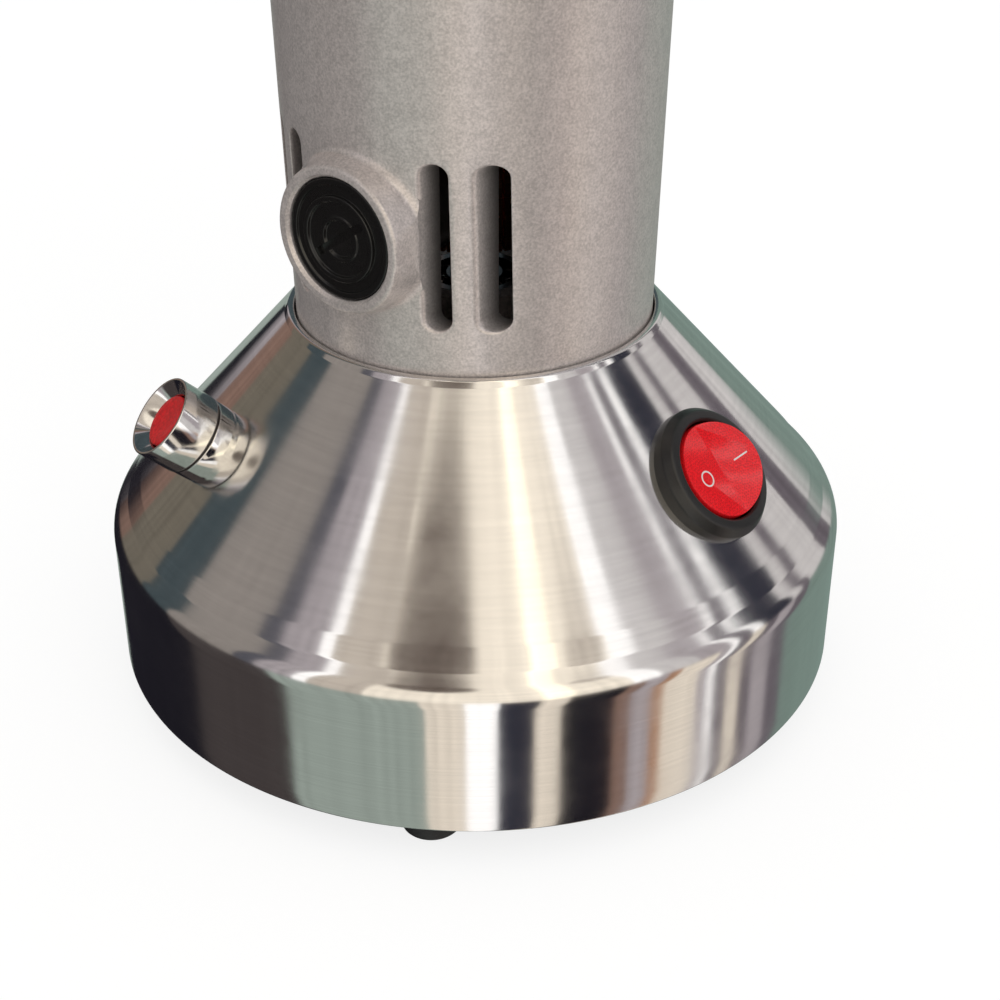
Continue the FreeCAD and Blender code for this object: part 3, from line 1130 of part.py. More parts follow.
holder_turned = turned("holder_turned", holder_outline)
holder_tools = []
for i, angle in enumerate(("90", "270")):
    holder_tools.append(box("keyway_%d" % i, "2 * pin_radius + 2 * collar_gap", "pin_reach + pin_radius",
                            "%s - %s" % (HOLDER_TOP, HOLDER),
                            around(angle, at(x="-pin_radius - collar_gap", y="-%s" % CHAMBER_BORE,
                                             z=HOLDER))))
HOPPER_SCREWS = ["360 / hopper_screw_count * %d" % i for i in range(count("hopper_screw_count"))]
for i, angle in enumerate(HOPPER_SCREWS):
    holder_tools.append(cylinder("holder_tap_%d" % i, "screw_radius + thread_gap",
                                 "hopper_screw_grip + tap_gap",
                                 around(angle, at(y="-hopper_screw_circle",
                                                  z=HOLDER_TOP + " - hopper_screw_grip - tap_gap"))))
for i, angle in enumerate(DISC_SCREWS):
    holder_tools.append(cylinder("holder_disc_tap_%d" % i, "screw_radius + thread_gap",
                                 "disc_screw_grip + tap_gap",
                                 around(angle, at(y="-disc_screw_circle", z=HOLDER))))
node(cut("disc_holder", holder_turned, holder_tools), "disc_holder")

clip = tube("circlip_ring", "collar_radius + circlip_width - circlip_groove",
            "collar_radius - circlip_groove", "circlip_thickness", at(z=GROOVE_Z))
opening = box("circlip_opening", "circlip_mouth", "cutter_reach", "circlip_thickness",
              at(x="-circlip_mouth / 2", y="collar_radius - cutter_reach / 2", z=GROOVE_Z))
node(cut("holder_circlip", clip, [opening]), "holder_circlip")

# Adjusting ring with its handle rods and grips
ring_outline = [
    ("chamber_radius + running_gap", RIM + " - thread_length"),
    ("ring_radius", RIM + " - thread_length"),
    ("ring_radius", WEB_TOP),
    ("collar_radius + collar_gap", WEB_TOP),
    ("collar_radius + collar_gap", RIM + " + ring_lift"),
    ("chamber_radius + running_gap", RIM + " + ring_lift"),
]
ring_turned = turned("adjusting_ring_turned", ring_outline)
ring_tools = [cylinder("finger_groove_%d" % i, "grip_radius", "thread_length + ring_lift + ring_web",
                       around("360 / grip_count * (%d + 0.5)" % i,
                              at(y="-(ring_radius + grip_radius - grip_depth)", z=RIM + " - thread_length")))
              for i in range(count("grip_count"))]
ROD_Z = "(%s - rod_drop)" % WEB_TOP
ROD_END = "(grip_knob_reach - grip_end)"
GRIP_START = "(ring_radius + grip_clear)"
for side, angle in (("left", "-90"), ("right", "90")):
    ring_tools.append(cylinder("rod_hole_" + side, "rod_radius + thread_gap", "cutter_reach",
                               radial(angle, "ring_radius - rod_seat", ROD_Z)))
node(cut("adjusting_ring", ring_turned, ring_tools), "adjusting_ring")
rods = []
grips = []
for side, angle in (("left", "-90"), ("right", "90")):
    rods.append(cylinder("handle_rod_" + side, "rod_radius", ROD_END + " - ring_radius + rod_seat",
                         radial(angle, "ring_radius - rod_seat", ROD_Z)))
    knob = cone("grip_blank_" + side, "grip_knob_neck", "grip_knob_radius", "grip_knob_reach - " + GRIP_START)
    hollow = cylinder("grip_hole_" + side, "rod_radius + thread_gap", "%s - %s" % (ROD_END, GRIP_START))
    grips.append(put(cut("handle_grip_" + side, knob, [hollow]),
                     radial(angle, GRIP_START, ROD_Z)))
node(group("handle_rods", rods), "handle_rods")
node(group("handle_grips", grips), "handle_grips")

# Discharge spout with its gasket and screws
SPOUT_TOP = "(%s + spout_top)" % HEAD
MOUTH = "(%s - spout_drop)" % HEAD
FLANGE_BACK = "(pad_reach + gasket_sheet)"
outer_side = [
    ("-%s" % FLANGE_BACK, SPOUT_TOP),
    ("-spout_run", SPOUT_TOP),
    ("-spout_reach", "%s - (spout_reach - spout_run)" % SPOUT_TOP),
    ("-spout_reach", MOUTH),
    ("-(spout_reach - spout_depth)", MOUTH),
    ("-(spout_reach - spout_depth)", MOUTH + " + spout_depth / 2"),
    ("-(flange_radius + spout_clearance)", HEAD + " + spout_clearance"),
    ("-%s" % FLANGE_BACK, HEAD + " + spout_clearance"),
]
inner_side = [
    ("-pad_reach", SPOUT_TOP + " - spout_wall"),
    ("-(spout_run - spout_wall / 2)", SPOUT_TOP + " - spout_wall"),
    ("-(spout_reach - spout_wall)", "%s - (spout_reach - spout_run) - spout_wall / 2" % SPOUT_TOP),
    ("-(spout_reach - spout_wall)", MOUTH + " - spout_wall"),
    ("-(spout_reach - spout_depth + spout_wall)", MOUTH + " - spout_wall"),
    ("-(spout_reach - spout_depth + spout_wall)", MOUTH + " + spout_depth / 2 + spout_wall / 2"),
    ("-(flange_radius + spout_clearance + spout_wall / 2)", HEAD + " + chamber_floor"),
    ("-pad_reach", HEAD + " + chamber_floor"),
]
chute = slab("spout_chute", "YZ_Plane", outer_side, "spout_width")
passage = slab("spout_passage", "YZ_Plane", inner_side, SPOUT_INNER)
flange = box("spout_flange_plate", "pad_width", "spout_flange", "spout_top",
             at(x="-pad_width / 2", y="-%s - spout_flange" % FLANGE_BACK, z=HEAD + " + spout_clearance"))
spout_holes = [cylinder("spout_hole_%d" % i, "small_screw_radius + screw_gap", "cutter_reach",
                        at(x=side + "spout_screw_side", y="-%s + cutter_reach / 2" % FLANGE_BACK,
                           z=SPOUT_SCREW_Z, axis="1;0;0", angle="90"))
               for i, side in enumerate(("-", ""))]
node(cut("discharge_spout", fuse("spout_blank", [chute, flange]), [passage] + spout_holes), "discharge_spout")
gasket = box("gasket_plate", "pad_width", "gasket_sheet", "spout_top",
             at(x="-pad_width / 2", y="-%s" % FLANGE_BACK, z=HEAD + " + spout_clearance"))
gasket_window = box("gasket_window", SPOUT_INNER, "cutter_reach", "spout_top - spout_wall - chamber_floor",
                    at(x="-%s / 2" % SPOUT_INNER, y="-%s - cutter_reach / 2" % FLANGE_BACK,
                       z=HEAD + " + chamber_floor"))
gasket_holes = [cylinder("gasket_hole_%d" % i, "small_screw_radius + screw_gap", "cutter_reach",
                         at(x=side + "spout_screw_side", y="-%s + cutter_reach / 2" % FLANGE_BACK,
                            z=SPOUT_SCREW_Z, axis="1;0;0", angle="90"))
                for i, side in enumerate(("-", ""))]
node(cut("spout_gasket", gasket, [gasket_window] + gasket_holes), "spout_gasket")
screws("spout_screws", "small_screw_radius", "small_head_radius", "screw_head_height",
       "spout_screw_grip + gasket_sheet + spout_flange",
       [at(x=side + "spout_screw_side", y="-%s - spout_flange" % FLANGE_BACK, z=SPOUT_SCREW_Z,
           axis="1;0;0", angle="90") for side in ("-", "")])

# Hopper, its seal and its screws
hopper_outline = [
    ("throat_radius", HOPPER),
    ("hopper_flange_radius", HOPPER),
    ("hopper_flange_radius", HOPPER + " + hopper_flange"),
    ("throat_radius + hopper_sheet", HOPPER + " + hopper_flange"),
    ("throat_radius + hopper_sheet", THROAT_TOP),
    ("hopper_radius", CONE_TOP),
    ("hopper_radius", HOPPER_RIM + " - rim_height"),
    ("hopper_radius + rim_width", HOPPER_RIM + " - rim_height"),
    ("hopper_radius + rim_width", HOPPER_RIM),
    ("hopper_radius - hopper_sheet", HOPPER_RIM),
    ("hopper_radius - hopper_sheet", CONE_TOP + " + hopper_sheet / 2"),
    ("throat_radius", THROAT_TOP + " + hopper_sheet / 2"),
]
hopper_turned = turned("hopper_turned", hopper_outline)
hopper_holes = [cylinder("hopper_hole_%d" % i, "screw_radius + screw_gap", "hopper_flange",
                         around(angle, at(y="-hopper_screw_circle", z=HOPPER)))
                for i, angle in enumerate(HOPPER_SCREWS)]
node(cut("hopper", hopper_turned, hopper_holes), "hopper")
seal = doc.addObject("Part::Torus", "hopper_seal")
tie(seal, Radius1="seal_circle", Radius2="seal_cord")
node(put(seal, at(z=HOLDER_TOP + " - seal_cord")), "hopper_seal")
screws("hopper_screws", "screw_radius", "screw_head_radius", "screw_head_height",
       "hopper_flange + hopper_screw_grip",
       [around(angle, at(y="-hopper_screw_circle", z=HOPPER + " + hopper_flange"))
        for angle in HOPPER_SCREWS])

# Lid, its knob and screw
SKIRT = "(hopper_radius - hopper_sheet - lid_gap)"
LID_TOP = "(%s + lid_sheet + lid_crown)" % HOPPER_RIM
lid_outline = [
    ("0", LID_TOP + " - lid_sheet"),
    ("lid_pad_radius", LID_TOP + " - lid_sheet"),
    (SKIRT + " - lid_sheet", HOPPER_RIM),
    (SKIRT + " - lid_sheet", HOPPER_RIM + " - lid_skirt"),
    (SKIRT, HOPPER_RIM + " - lid_skirt"),
    (SKIRT, HOPPER_RIM),
    ("hopper_radius + rim_width", HOPPER_RIM),
    ("hopper_radius + rim_width", HOPPER_RIM + " + lid_sheet"),
    ("lid_pad_radius", LID_TOP),
    ("0", LID_TOP),
]
lid_turned = turned("lid_turned", lid_outline)
node(cut("hopper_lid", lid_turned, [cylinder("lid_hole", "screw_radius + screw_gap", "cutter_reach",
                                             at(z=LID_TOP + " - cutter_reach / 2"))]), "hopper_lid")
knob_outline = [
    ("0", LID_TOP),
    ("knob_neck_radius + knob_foot", LID_TOP),
    ("knob_neck_radius", LID_TOP + " + knob_foot_height"),
    ("knob_neck_radius", LID_TOP + " + knob_neck_height"),
    ("knob_radius", LID_TOP + " + knob_neck_height + knob_round"),
    ("knob_radius", LID_TOP + " + knob_height - knob_round"),
    ("knob_top_radius", LID_TOP + " + knob_height"),
    ("0", LID_TOP + " + knob_height"),
]
knob_turned = turned("knob_turned", knob_outline)
node(cut("lid_knob", knob_turned, [cylinder("knob_tap", "screw_radius + thread_gap",
                                         "lid_screw_grip + tap_gap", at(z=LID_TOP))]),
     "lid_knob")
screws("lid_screw", "screw_radius", "screw_head_radius", "screw_head_height", "lid_sheet + lid_screw_grip",
       [at(z=LID_TOP + " - lid_sheet", axis="1;0;0", angle="180")])


def seat(name, radius, height, bore, place, core):
    """Skirt of a control, fitted to the curved face that it stands on."""
    skirt = tube(name + "_skirt", radius, bore, "2 * (%s)" % height, place + " * " + at(z="-(%s)" % height))
    return cut(name + "_seat", skirt, [core])


# Filled base, for fitting what stands on it
cone_core = cone("cone_core", "base_radius", NECK_RADIUS, "base_height - shoulder_height",
                 at(z="foot_height + shoulder_height"))
band_core = cylinder("band_core", "base_radius", "shoulder_height", at(z="foot_height"))

# Rocker switch
SWITCH = on_cone("control_angle")
BEZEL_BORE = "(rocker_radius + rocker_gap)"
bezel_outline = [
    (BEZEL_BORE, "-cavity_depth"),
    ("0", "-cavity_depth"),
    ("0", "-(shell_sheet + barrel_length)"),
    ("barrel_radius", "-(shell_sheet + barrel_length)"),
    ("barrel_radius", "seat_rise"),
    ("bezel_radius", "seat_rise"),
    ("bezel_radius", "bezel_seat + seat_rise"),
    ("bezel_radius - bezel_slant", "bezel_height"),
    (BEZEL_BORE, "bezel_height"),
]
bezel_turned = turned("bezel_turned", bezel_outline)
PIN_HALF = "(%s + pin_seat)" % BEZEL_BORE
pin_hole = cylinder("rocker_pin_hole", "rocker_pin_radius + running_gap", "2 * (%s + pin_end_gap)" % PIN_HALF,
                    at(y="%s + pin_end_gap" % PIN_HALF, z="rocker_pivot", axis="1;0;0", angle="90"))
terminal_slots = [box("terminal_slot_%d" % i, "terminal_sheet + 2 * thread_gap",
                      "terminal_width + 2 * thread_gap", "terminal_root + tap_gap",
                      at(x="%s - terminal_sheet / 2 - thread_gap" % x, y="-terminal_width / 2 - thread_gap",
                         z="-(shell_sheet + barrel_length)"))
                  for i, x in enumerate(("-terminal_spread", "0", "terminal_spread"))]
bezel = put(cut("switch_bezel", bezel_turned, [pin_hole] + terminal_slots), SWITCH)
bezel_skirt = seat("bezel", "bezel_radius", "bezel_seat", "barrel_radius + panel_gap", SWITCH, cone_core)
node(fuse("switch_body", [bezel, bezel_skirt]), "switch_body")
rocker_side = [
    ("-2 * rocker_radius", "rocker_flat"),
    ("0", "rocker_flat"),
    ("2 * rocker_radius", "rocker_flat + 2 * rocker_radius * tan(rocker_angle)"),
    ("2 * rocker_radius", "-rocker_depth + 2 * rocker_radius * tan(rocker_angle)"),
    ("0", "-rocker_depth"),
    ("-2 * rocker_radius", "-rocker_depth"),
]
rocker_common = common("rocker_common", sphere("rocker_ball", "rocker_radius"),
                       slab("rocker_wedge", "XZ_Plane", rocker_side, "3 * rocker_radius"))
rocker_pins = cylinder("rocker_pins", "rocker_pin_radius", "2 * " + PIN_HALF,
                       at(y=PIN_HALF, axis="1;0;0", angle="90"))
rocker = fuse("switch_rocker", [rocker_common, rocker_pins])
node(put(rocker, SWITCH + " * " + at(z="rocker_pivot")), "switch_rocker")
terminals = [box("switch_terminal_%d" % i, "terminal_sheet", "terminal_width",
                 "terminal_length + terminal_root",
                 at(x="%s - terminal_sheet / 2" % x, y="-terminal_width / 2",
                    z="-(shell_sheet + barrel_length + terminal_length)"))
             for i, x in enumerate(("-terminal_spread", "0", "terminal_spread"))]
switch_terminals = put(group("switch_terminals", terminals), SWITCH)

# Overload protector
PROTECTOR = on_cone("-control_angle")
CAP_START = "(protector_nut_height + cap_line)"
BUTTON_TOP = "(protector_cap_height - button_inset)"
BUTTON_LOW = "(%s - button_height)" % BUTTON_TOP
BUTTON_BORE = "(button_radius + button_gap)"
SPRING_FLOOR = "(%s - button_stem_length - button_travel - button_room)" % BUTTON_LOW
case_outline = [
    ("0", "-(shell_sheet + case_length)"),
    ("case_radius", "-(shell_sheet + case_length)"),
    ("case_radius", "-(shell_sheet + case_gap)"),
    ("protector_neck", "-(shell_sheet + case_gap)"),
    ("protector_neck", CAP_START + " + bushing_rise"),
    (BUTTON_BORE, CAP_START + " + bushing_rise"),
    (BUTTON_BORE, SPRING_FLOOR),
    ("0", SPRING_FLOOR),
]
case_turned = turned("case_turned", case_outline)
case_slots = [box("case_slot_%d" % i, "terminal_width + 2 * thread_gap", "terminal_sheet + 2 * thread_gap",
                  "terminal_root + tap_gap",
                  at(x="-terminal_width / 2 - thread_gap", y="%s - terminal_sheet / 2 - thread_gap" % y,
                     z="-(shell_sheet + case_length)"))
              for i, y in enumerate(("-terminal_spread", "terminal_spread"))]
node(put(cut("protector_case", case_turned, case_slots), PROTECTOR), "protector_case")
nut_ring = tube("protector_nut_ring", "protector_nut_radius", "protector_neck + thread_gap",
                "protector_nut_height - seat_rise", PROTECTOR + " * " + at(z="seat_rise"))
nut_skirt = seat("protector_nut", "protector_nut_radius", "bezel_seat", "protector_neck + thread_gap",
                 PROTECTOR, cone_core)
node(fuse("protector_nut", [nut_ring, nut_skirt]), "protector_nut")
cap_outline = [
    ("protector_neck + thread_gap", CAP_START),
    ("protector_cap_radius", CAP_START),
    ("protector_cap_radius", "protector_cap_height"),
    ("protector_cap_radius - funnel_rim", "protector_cap_height"),
    (BUTTON_BORE, "protector_cap_height - funnel_depth"),
    (BUTTON_BORE, CAP_START + " + bushing_rise"),
    ("protector_neck + thread_gap", CAP_START + " + bushing_rise"),
]
node(turned("protector_cap", cap_outline, PROTECTOR), "protector_cap")
button_parts = [cylinder("button_head", "button_radius", "button_height", at(z=BUTTON_LOW)),
                cylinder("button_stem", "button_stem", "button_stem_length",
                         at(z=BUTTON_LOW + " - button_stem_length"))]
node(put(fuse("reset_button", button_parts), PROTECTOR), "reset_button")
node(spring("reset_spring", "(button_stem + button_radius) / 2", "spring_wire",
            "%s - %s - 2 * (spring_wire + spring_gap)" % (BUTTON_LOW, SPRING_FLOOR), "reset_turns",
            PROTECTOR + " * " + at(z=SPRING_FLOOR + " + spring_wire + spring_gap")), "reset_spring")
blades = [box("protector_terminal_%d" % i, "terminal_width", "terminal_sheet",
              "terminal_length + terminal_root",
              at(x="-terminal_width / 2", y="%s - terminal_sheet / 2" % y,
                 z="-(shell_sheet + case_length + terminal_length)"))
          for i, y in enumerate(("-terminal_spread", "terminal_spread"))]
protector_terminals = put(group("protector_terminals", blades), PROTECTOR)
node(group("spade_terminals", [switch_terminals, protector_terminals]), "spade_terminals")

# Cord gland at the back
GLAND = at(y="base_radius", z="foot_height + gland_height", axis="1;0;0", angle="-90")
gland_outline = [
    ("gland_bore", "-gland_inside"),
    ("gland_radius", "-gland_inside"),
    ("gland_radius", "seat_rise"),
    ("gland_head_radius", "seat_rise"),
    ("gland_head_radius", "gland_shoulder"),
    ("gland_tip_radius", "gland_reach"),
    ("gland_bore", "gland_reach"),
]
gland_skirt = seat("gland", "gland_head_radius", "bezel_seat", "gland_radius + panel_gap", GLAND, band_core)
node(fuse("cord_gland", [turned("gland_turned", gland_outline, GLAND), gland_skirt]), "cord_gland")
gland_nut = prism("gland_nut_blank", 6, "gland_nut_radius", "gland_nut_height",
                  at(z="-(shell_sheet + gland_nut_height + nut_drop)"))
gland_nut_bore = cylinder("gland_nut_bore", "gland_radius + thread_gap", "2 * cutter_reach",
                          at(z="-cutter_reach"))
node(put(cut("gland_nut", gland_nut, [gland_nut_bore]), GLAND), "gland_nut")

# Terminal block on the bottom plate, where the cord's cores end
block = box("block_body", "block_length", "block_width", "block_height",
            at(x="-block_length / 2", y="block_place - block_width / 2", z=PLATE_TOP))
block_tools = []
for i, lane in enumerate(("-wire_pitch", "0", "wire_pitch")):
    block_tools.append(cylinder("block_bore_%d" % i, "wire_radius + running_gap", "block_width",
                                at(x=lane, y="block_place + block_width / 2",
                                   z=PLATE_TOP + " + block_height / 2", axis="1;0;0", angle="90")))
    block_tools.append(cylinder("block_screw_hole_%d" % i, "block_screw_radius", "block_height / 2",
                                at(x=lane, y="block_place", z=PLATE_TOP + " + block_height / 2")))
node(cut("terminal_block", block, block_tools), "terminal_block")
doc.recompute()


def spot(x, y, z):
    """Point whose three places are numbers or expressions in the sheet's words."""
    return FreeCAD.Vector(*[amount_of(place) if isinstance(place, str) else place for place in (x, y, z)])


def terminal_end(terminals, x, y, tip):
    """Tip of a terminal and a point straight out of it, from places in its control's own frame."""
    return [terminals.Placement.multVec(spot(x, y, tip)),
            terminals.Placement.multVec(spot(x, y, tip + " - wire_exit"))]


def block_end(lane):
    """End of a wire in the terminal block and a point straight out of it."""
    level = PLATE_TOP + " + block_height / 2"
    return [spot(lane, "block_place - block_width / 2 + wire_seat", level),
            spot(lane, "block_place - block_width / 2 + wire_seat - wire_exit", level)]


def climb(side):
    """Points up through the ring and the lower bracket to the underside of a brush holder."""
    across = "%s(wire_lane + wire_radius) * sin(brush_angle)" % side
    along = "-1 * (%s(wire_lane + wire_radius) * cos(brush_angle))" % side
    foot = BRUSH + " - holder_radius"
    return [spot(0, "-1 * (%swire_lane)" % side, LOWER_BEARING + " + 2 * wire_radius"),
            spot(across, along, foot + " - 7 * wire_radius"),
            spot(across, along, foot)]


# Inner wiring: ends at the terminals, the block and the brush holders, points between chosen by hand
switch_tip = "-(shell_sheet + barrel_length + terminal_length)"
protector_tip = "-(shell_sheet + case_length + terminal_length)"
first_brush = climb("+")
second_brush = climb("-")
LEG_FACE = [spot("%s * sin(360 / foot_count)" % reach, "-1 * %s * cos(360 / foot_count)" % reach, 15)
            for reach in ("(%s - wire_exit)" % LEG_START, LEG_START)]
routes = {
    "live": (block_end("-wire_pitch") + [spot(-18, 20, 15.5), spot(-25, 2, 17)]
             + terminal_end(protector_terminals, 0, "-terminal_spread", protector_tip)[::-1]),
    "neutral": (block_end("0") + [spot(0.5, 26, 32), spot(0, 21.5, 52)] + second_brush),
    "earth": (block_end("wire_pitch") + [spot(22, 25, 14)] + LEG_FACE),
    "link": (terminal_end(protector_terminals, 0, "terminal_spread", protector_tip)
             + [spot(-6, -14, 28), spot(10, -19, 27)]
             + terminal_end(switch_terminals, "-terminal_spread", 0, switch_tip)[::-1]),
    "switched": (terminal_end(switch_terminals, 0, 0, switch_tip)
                 + [spot(12, -15, 36), spot(2, -20, 50), spot(0.5, -21.5, 68)] + first_brush),
}
wires_inside = [insulated_wire("wire_" + name, points) for name, points in routes.items()]
node(group("inner_wires", wires_inside), "inner_wires")

doc.recompute()

# Check every object before anything is written
faults = []
for thing in doc.Objects:
    if "Invalid" in thing.State or "Error" in thing.State:
        faults.append("%s is %s" % (thing.Name, thing.State))
for thing in nodes:
    if thing.Shape.isNull() or not thing.Shape.isValid() or not thing.Shape.Solids:
        faults.append("%s has no valid solid" % thing.Label)
if faults:
    sys.exit("\n".join(faults))

os.makedirs("parts", exist_ok=True)
for thing in nodes:
    thing.Shape.exportStep("parts/%s.step" % thing.Label)
print(len(nodes), "nodes written")
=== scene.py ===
# Looks of a nut butter grinder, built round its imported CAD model.
# Metres, +Z up, -Y to the front. Angles round the machine are counted from the front, positive towards +X.

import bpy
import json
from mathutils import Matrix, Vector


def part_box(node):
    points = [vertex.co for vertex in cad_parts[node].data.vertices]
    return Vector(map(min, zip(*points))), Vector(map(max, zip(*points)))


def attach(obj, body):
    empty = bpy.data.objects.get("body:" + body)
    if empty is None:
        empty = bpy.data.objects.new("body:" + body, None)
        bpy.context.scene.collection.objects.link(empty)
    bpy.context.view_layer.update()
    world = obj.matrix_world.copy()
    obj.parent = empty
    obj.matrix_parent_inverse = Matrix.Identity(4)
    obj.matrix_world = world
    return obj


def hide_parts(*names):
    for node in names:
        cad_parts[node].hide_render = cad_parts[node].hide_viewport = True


bl_info = {
    "name": "Nut butter grinder",
    "version": (1, 0, 0),
    "blender": (4, 5, 0),
    "location": "View3D > Sidebar > Grinder",
    "description": "Builds the visible pieces, the finishes and the studio of a nut butter grinder",
    "category": "Object",
}

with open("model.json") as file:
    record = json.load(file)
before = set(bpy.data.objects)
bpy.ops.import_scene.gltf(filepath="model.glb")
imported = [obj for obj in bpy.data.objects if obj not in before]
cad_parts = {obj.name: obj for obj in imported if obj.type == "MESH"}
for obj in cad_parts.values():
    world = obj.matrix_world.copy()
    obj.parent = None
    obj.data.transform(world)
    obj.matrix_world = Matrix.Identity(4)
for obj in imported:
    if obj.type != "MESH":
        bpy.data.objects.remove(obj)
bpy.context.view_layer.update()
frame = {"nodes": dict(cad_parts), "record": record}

import json
import math

import bpy
from bpy.props import FloatProperty, FloatVectorProperty, IntProperty, PointerProperty
from mathutils import Matrix, Vector

MM = 0.001

# Levels and radii of the pieces, from the frame
BAND_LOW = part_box("base_shell")[0].z
BAND_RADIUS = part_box("base_shell")[1].x
PLATE_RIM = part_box("upper_bearing_plate")[1].x
HOUSING_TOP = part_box("motor_housing")[1].z
HOUSING_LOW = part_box("motor_housing")[0].z
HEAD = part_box("upper_bearing_plate")[1].z
CHAMBER_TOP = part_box("grinding_chamber")[1].z
RING_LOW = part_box("adjusting_ring")[0].z
RING_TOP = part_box("adjusting_ring")[1].z
RING_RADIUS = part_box("adjusting_ring")[1].x
HOPPER_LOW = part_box("hopper")[0].z
HOPPER_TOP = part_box("hopper")[1].z
HOPPER_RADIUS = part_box("hopper")[1].x
LID_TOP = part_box("hopper_lid")[1].z
GRIP_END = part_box("handle_grips")[1].x
SPOUT_FRONT = -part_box("discharge_spout")[0].y
SPOUT_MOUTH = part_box("discharge_spout")[0].z
SPOUT_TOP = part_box("discharge_spout")[1].z
SPOUT_BACK = -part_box("discharge_spout")[1].y
FOOT_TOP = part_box("rubber_feet")[1].z
FLANGE_TOP = HEAD + 6 * MM
CHAMBER_FLOOR = HEAD + 5 * MM

# Sizes that more than one piece uses
HEAD_SCREWS = 4
HEAD_SCREW_CIRCLE = 53 * MM
ROD_SEAT = 5 * MM

# Air slots: their angles from a brush axis in degrees, and the exhaust slots round the fan
SLOT_OFFSETS = (-43.1, -26.5, 26.5, 43.1)
EXHAUST_WIDTH = 5 * MM
EXHAUST_LENGTH = 13 * MM
EXHAUST_LEVEL = 195.5 * MM

# Growth of a slot along its flare and depth below the wall, both in slot rims
SLOT_FLARE = ((0, 1.5), (0.08, 1), (0.3, 0.45), (0.62, 0.12), (1, 0), (1.3, -0.1), (1.3, -1.5))

WHOLE_TURN = 360
MERGE_DISTANCE = 1e-6

# Largest share of a side that one rounding takes
ROUNDING_SHARE = 0.49


def length(name, description, default):
    """Length property in metres."""
    return FloatProperty(name=name, description=description, default=default, min=0.0, precision=5,
                         unit="LENGTH")


def angle(name, description, default):
    """Angle property, with its default in degrees."""
    return FloatProperty(name=name, description=description, default=math.radians(default),
                         subtype="ANGLE", unit="ROTATION")


def tint(name, description, default):
    """Colour property."""
    return FloatVectorProperty(name=name, description=description, default=default, size=3,
                               min=0.0, max=1.0, subtype="COLOR")


class GrinderBase(bpy.types.PropertyGroup):
    """Sizes of the base and what stands on it."""
    neck_level: length("Neck level", "Floor to the top of the cone", 86.6 * MM)
    neck_radius: length("Neck radius", "Inner radius of the shell at the neck", 37.9 * MM)
    corner_level: length("Corner level", "Floor to the corner between band and cone", 39.6 * MM)
    corner_round: length("Corner rounding", "Rounding between band and cone", 6.5 * MM)
    sheet: length("Sheet", "Sheet of the base shell", 1.2 * MM)
    lip_width: length("Lip width", "Width of the turned lip at the neck", 2.1 * MM)
    lip_rise: length("Lip rise", "Rise of the lip over its width", 1.3 * MM)
    foot_circle: length("Foot circle", "Machine's axis to the middle of a foot", 68 * MM)
    foot_count: IntProperty(name="Feet", description="Rubber feet, the first at the front", default=3,
                            min=3)
    gland_level: length("Gland level", "Floor to the axis of the cord gland", 24 * MM)


class GrinderHousing(bpy.types.PropertyGroup):
    """Sizes of the cast motor housing."""
    radius: length("Radius", "Outer radius of the housing at the neck", 37.5 * MM)
    taper: angle("Taper", "Angle by which the housing widens upwards", 1.14)
    bore: length("Bore", "Bore round the commutator", 32.6 * MM)
    slot_width: length("Slot width", "Width of an air slot", 4.7 * MM)
    slot_length: length("Slot length", "Height of an air slot", 33.2 * MM)
    slot_level: length("Slot level", "Floor to the middle of the air slots", 111.5 * MM)
    slot_rim: length("Slot rim", "Rounding round a slot", 0.6 * MM)
    exhaust_count: IntProperty(name="Exhausts", description="Exhaust slots round the fan", default=14,
                               min=1)
    brush_angle: angle("Brush angle", "Angle of the first brush axis from the front", -29.4)
    brush_level: length("Brush level", "Floor to the brush axis", 112.2 * MM)
    boss_radius: length("Boss radius", "Radius of a brush boss at its rim", 14.6 * MM)
    boss_root: length("Boss root", "Radius of a brush boss at its root", 15.4 * MM)
    boss_reach: length("Boss reach", "Machine's axis to the rim of a boss", 42.6 * MM)
    cap_radius: length("Cap radius", "Radius of a brush cap", 12 * MM)


class GrinderControls(bpy.types.PropertyGroup):
    """Sizes of the switch and the overload protector."""
    turn: angle("Place", "Angle of both controls from the front", 60)
    run: length("Run", "Neck down the cone to the middle of a control", 32 * MM)
    bezel_radius: length("Bezel radius", "Outer radius of the switch's bezel", 14 * MM)
    bezel_height: length("Bezel height", "Height of the bezel above the cone", 3.5 * MM)
    rocker_radius: length("Rocker radius", "Radius of the rocker about its pivot", 10.2 * MM)
    rocker_flat: length("Rocker flat", "Pivot to the pressed half of the rocker", 2.3 * MM)
    rocker_angle: angle("Rocker angle", "Angle between the rocker's halves", 20)
    cap_radius: length("Cap radius", "Radius of the protector's cap", 8.7 * MM)
    cap_height: length("Cap height", "Cone to the rim of the cap", 13 * MM)
    button_radius: length("Button radius", "Radius of the reset button", 5.6 * MM)


class GrinderHead(bpy.types.PropertyGroup):
    """Sizes of the grinding head."""
    chamber_radius: length("Chamber radius", "Outer radius of the chamber", 48 * MM)
    chamber_wall: length("Chamber wall", "Wall of the chamber", 4.5 * MM)
    groove_count: IntProperty(name="Grooves", description="Finger grooves round the ring", default=24,
                              min=3)
    groove_depth: length("Groove depth", "Depth of a finger groove", 1.1 * MM)
    scale_step: angle("Scale step", "Angle between two numbers on the adjusting ring", 30)
    scale_last: IntProperty(name="Last number", description="Last number on the adjusting ring", default=9)
    rod_level: length("Rod level", "Floor to the axis of the handle rods", 259.5 * MM)
    rod_radius: length("Rod radius", "Radius of a handle rod", 4 * MM)


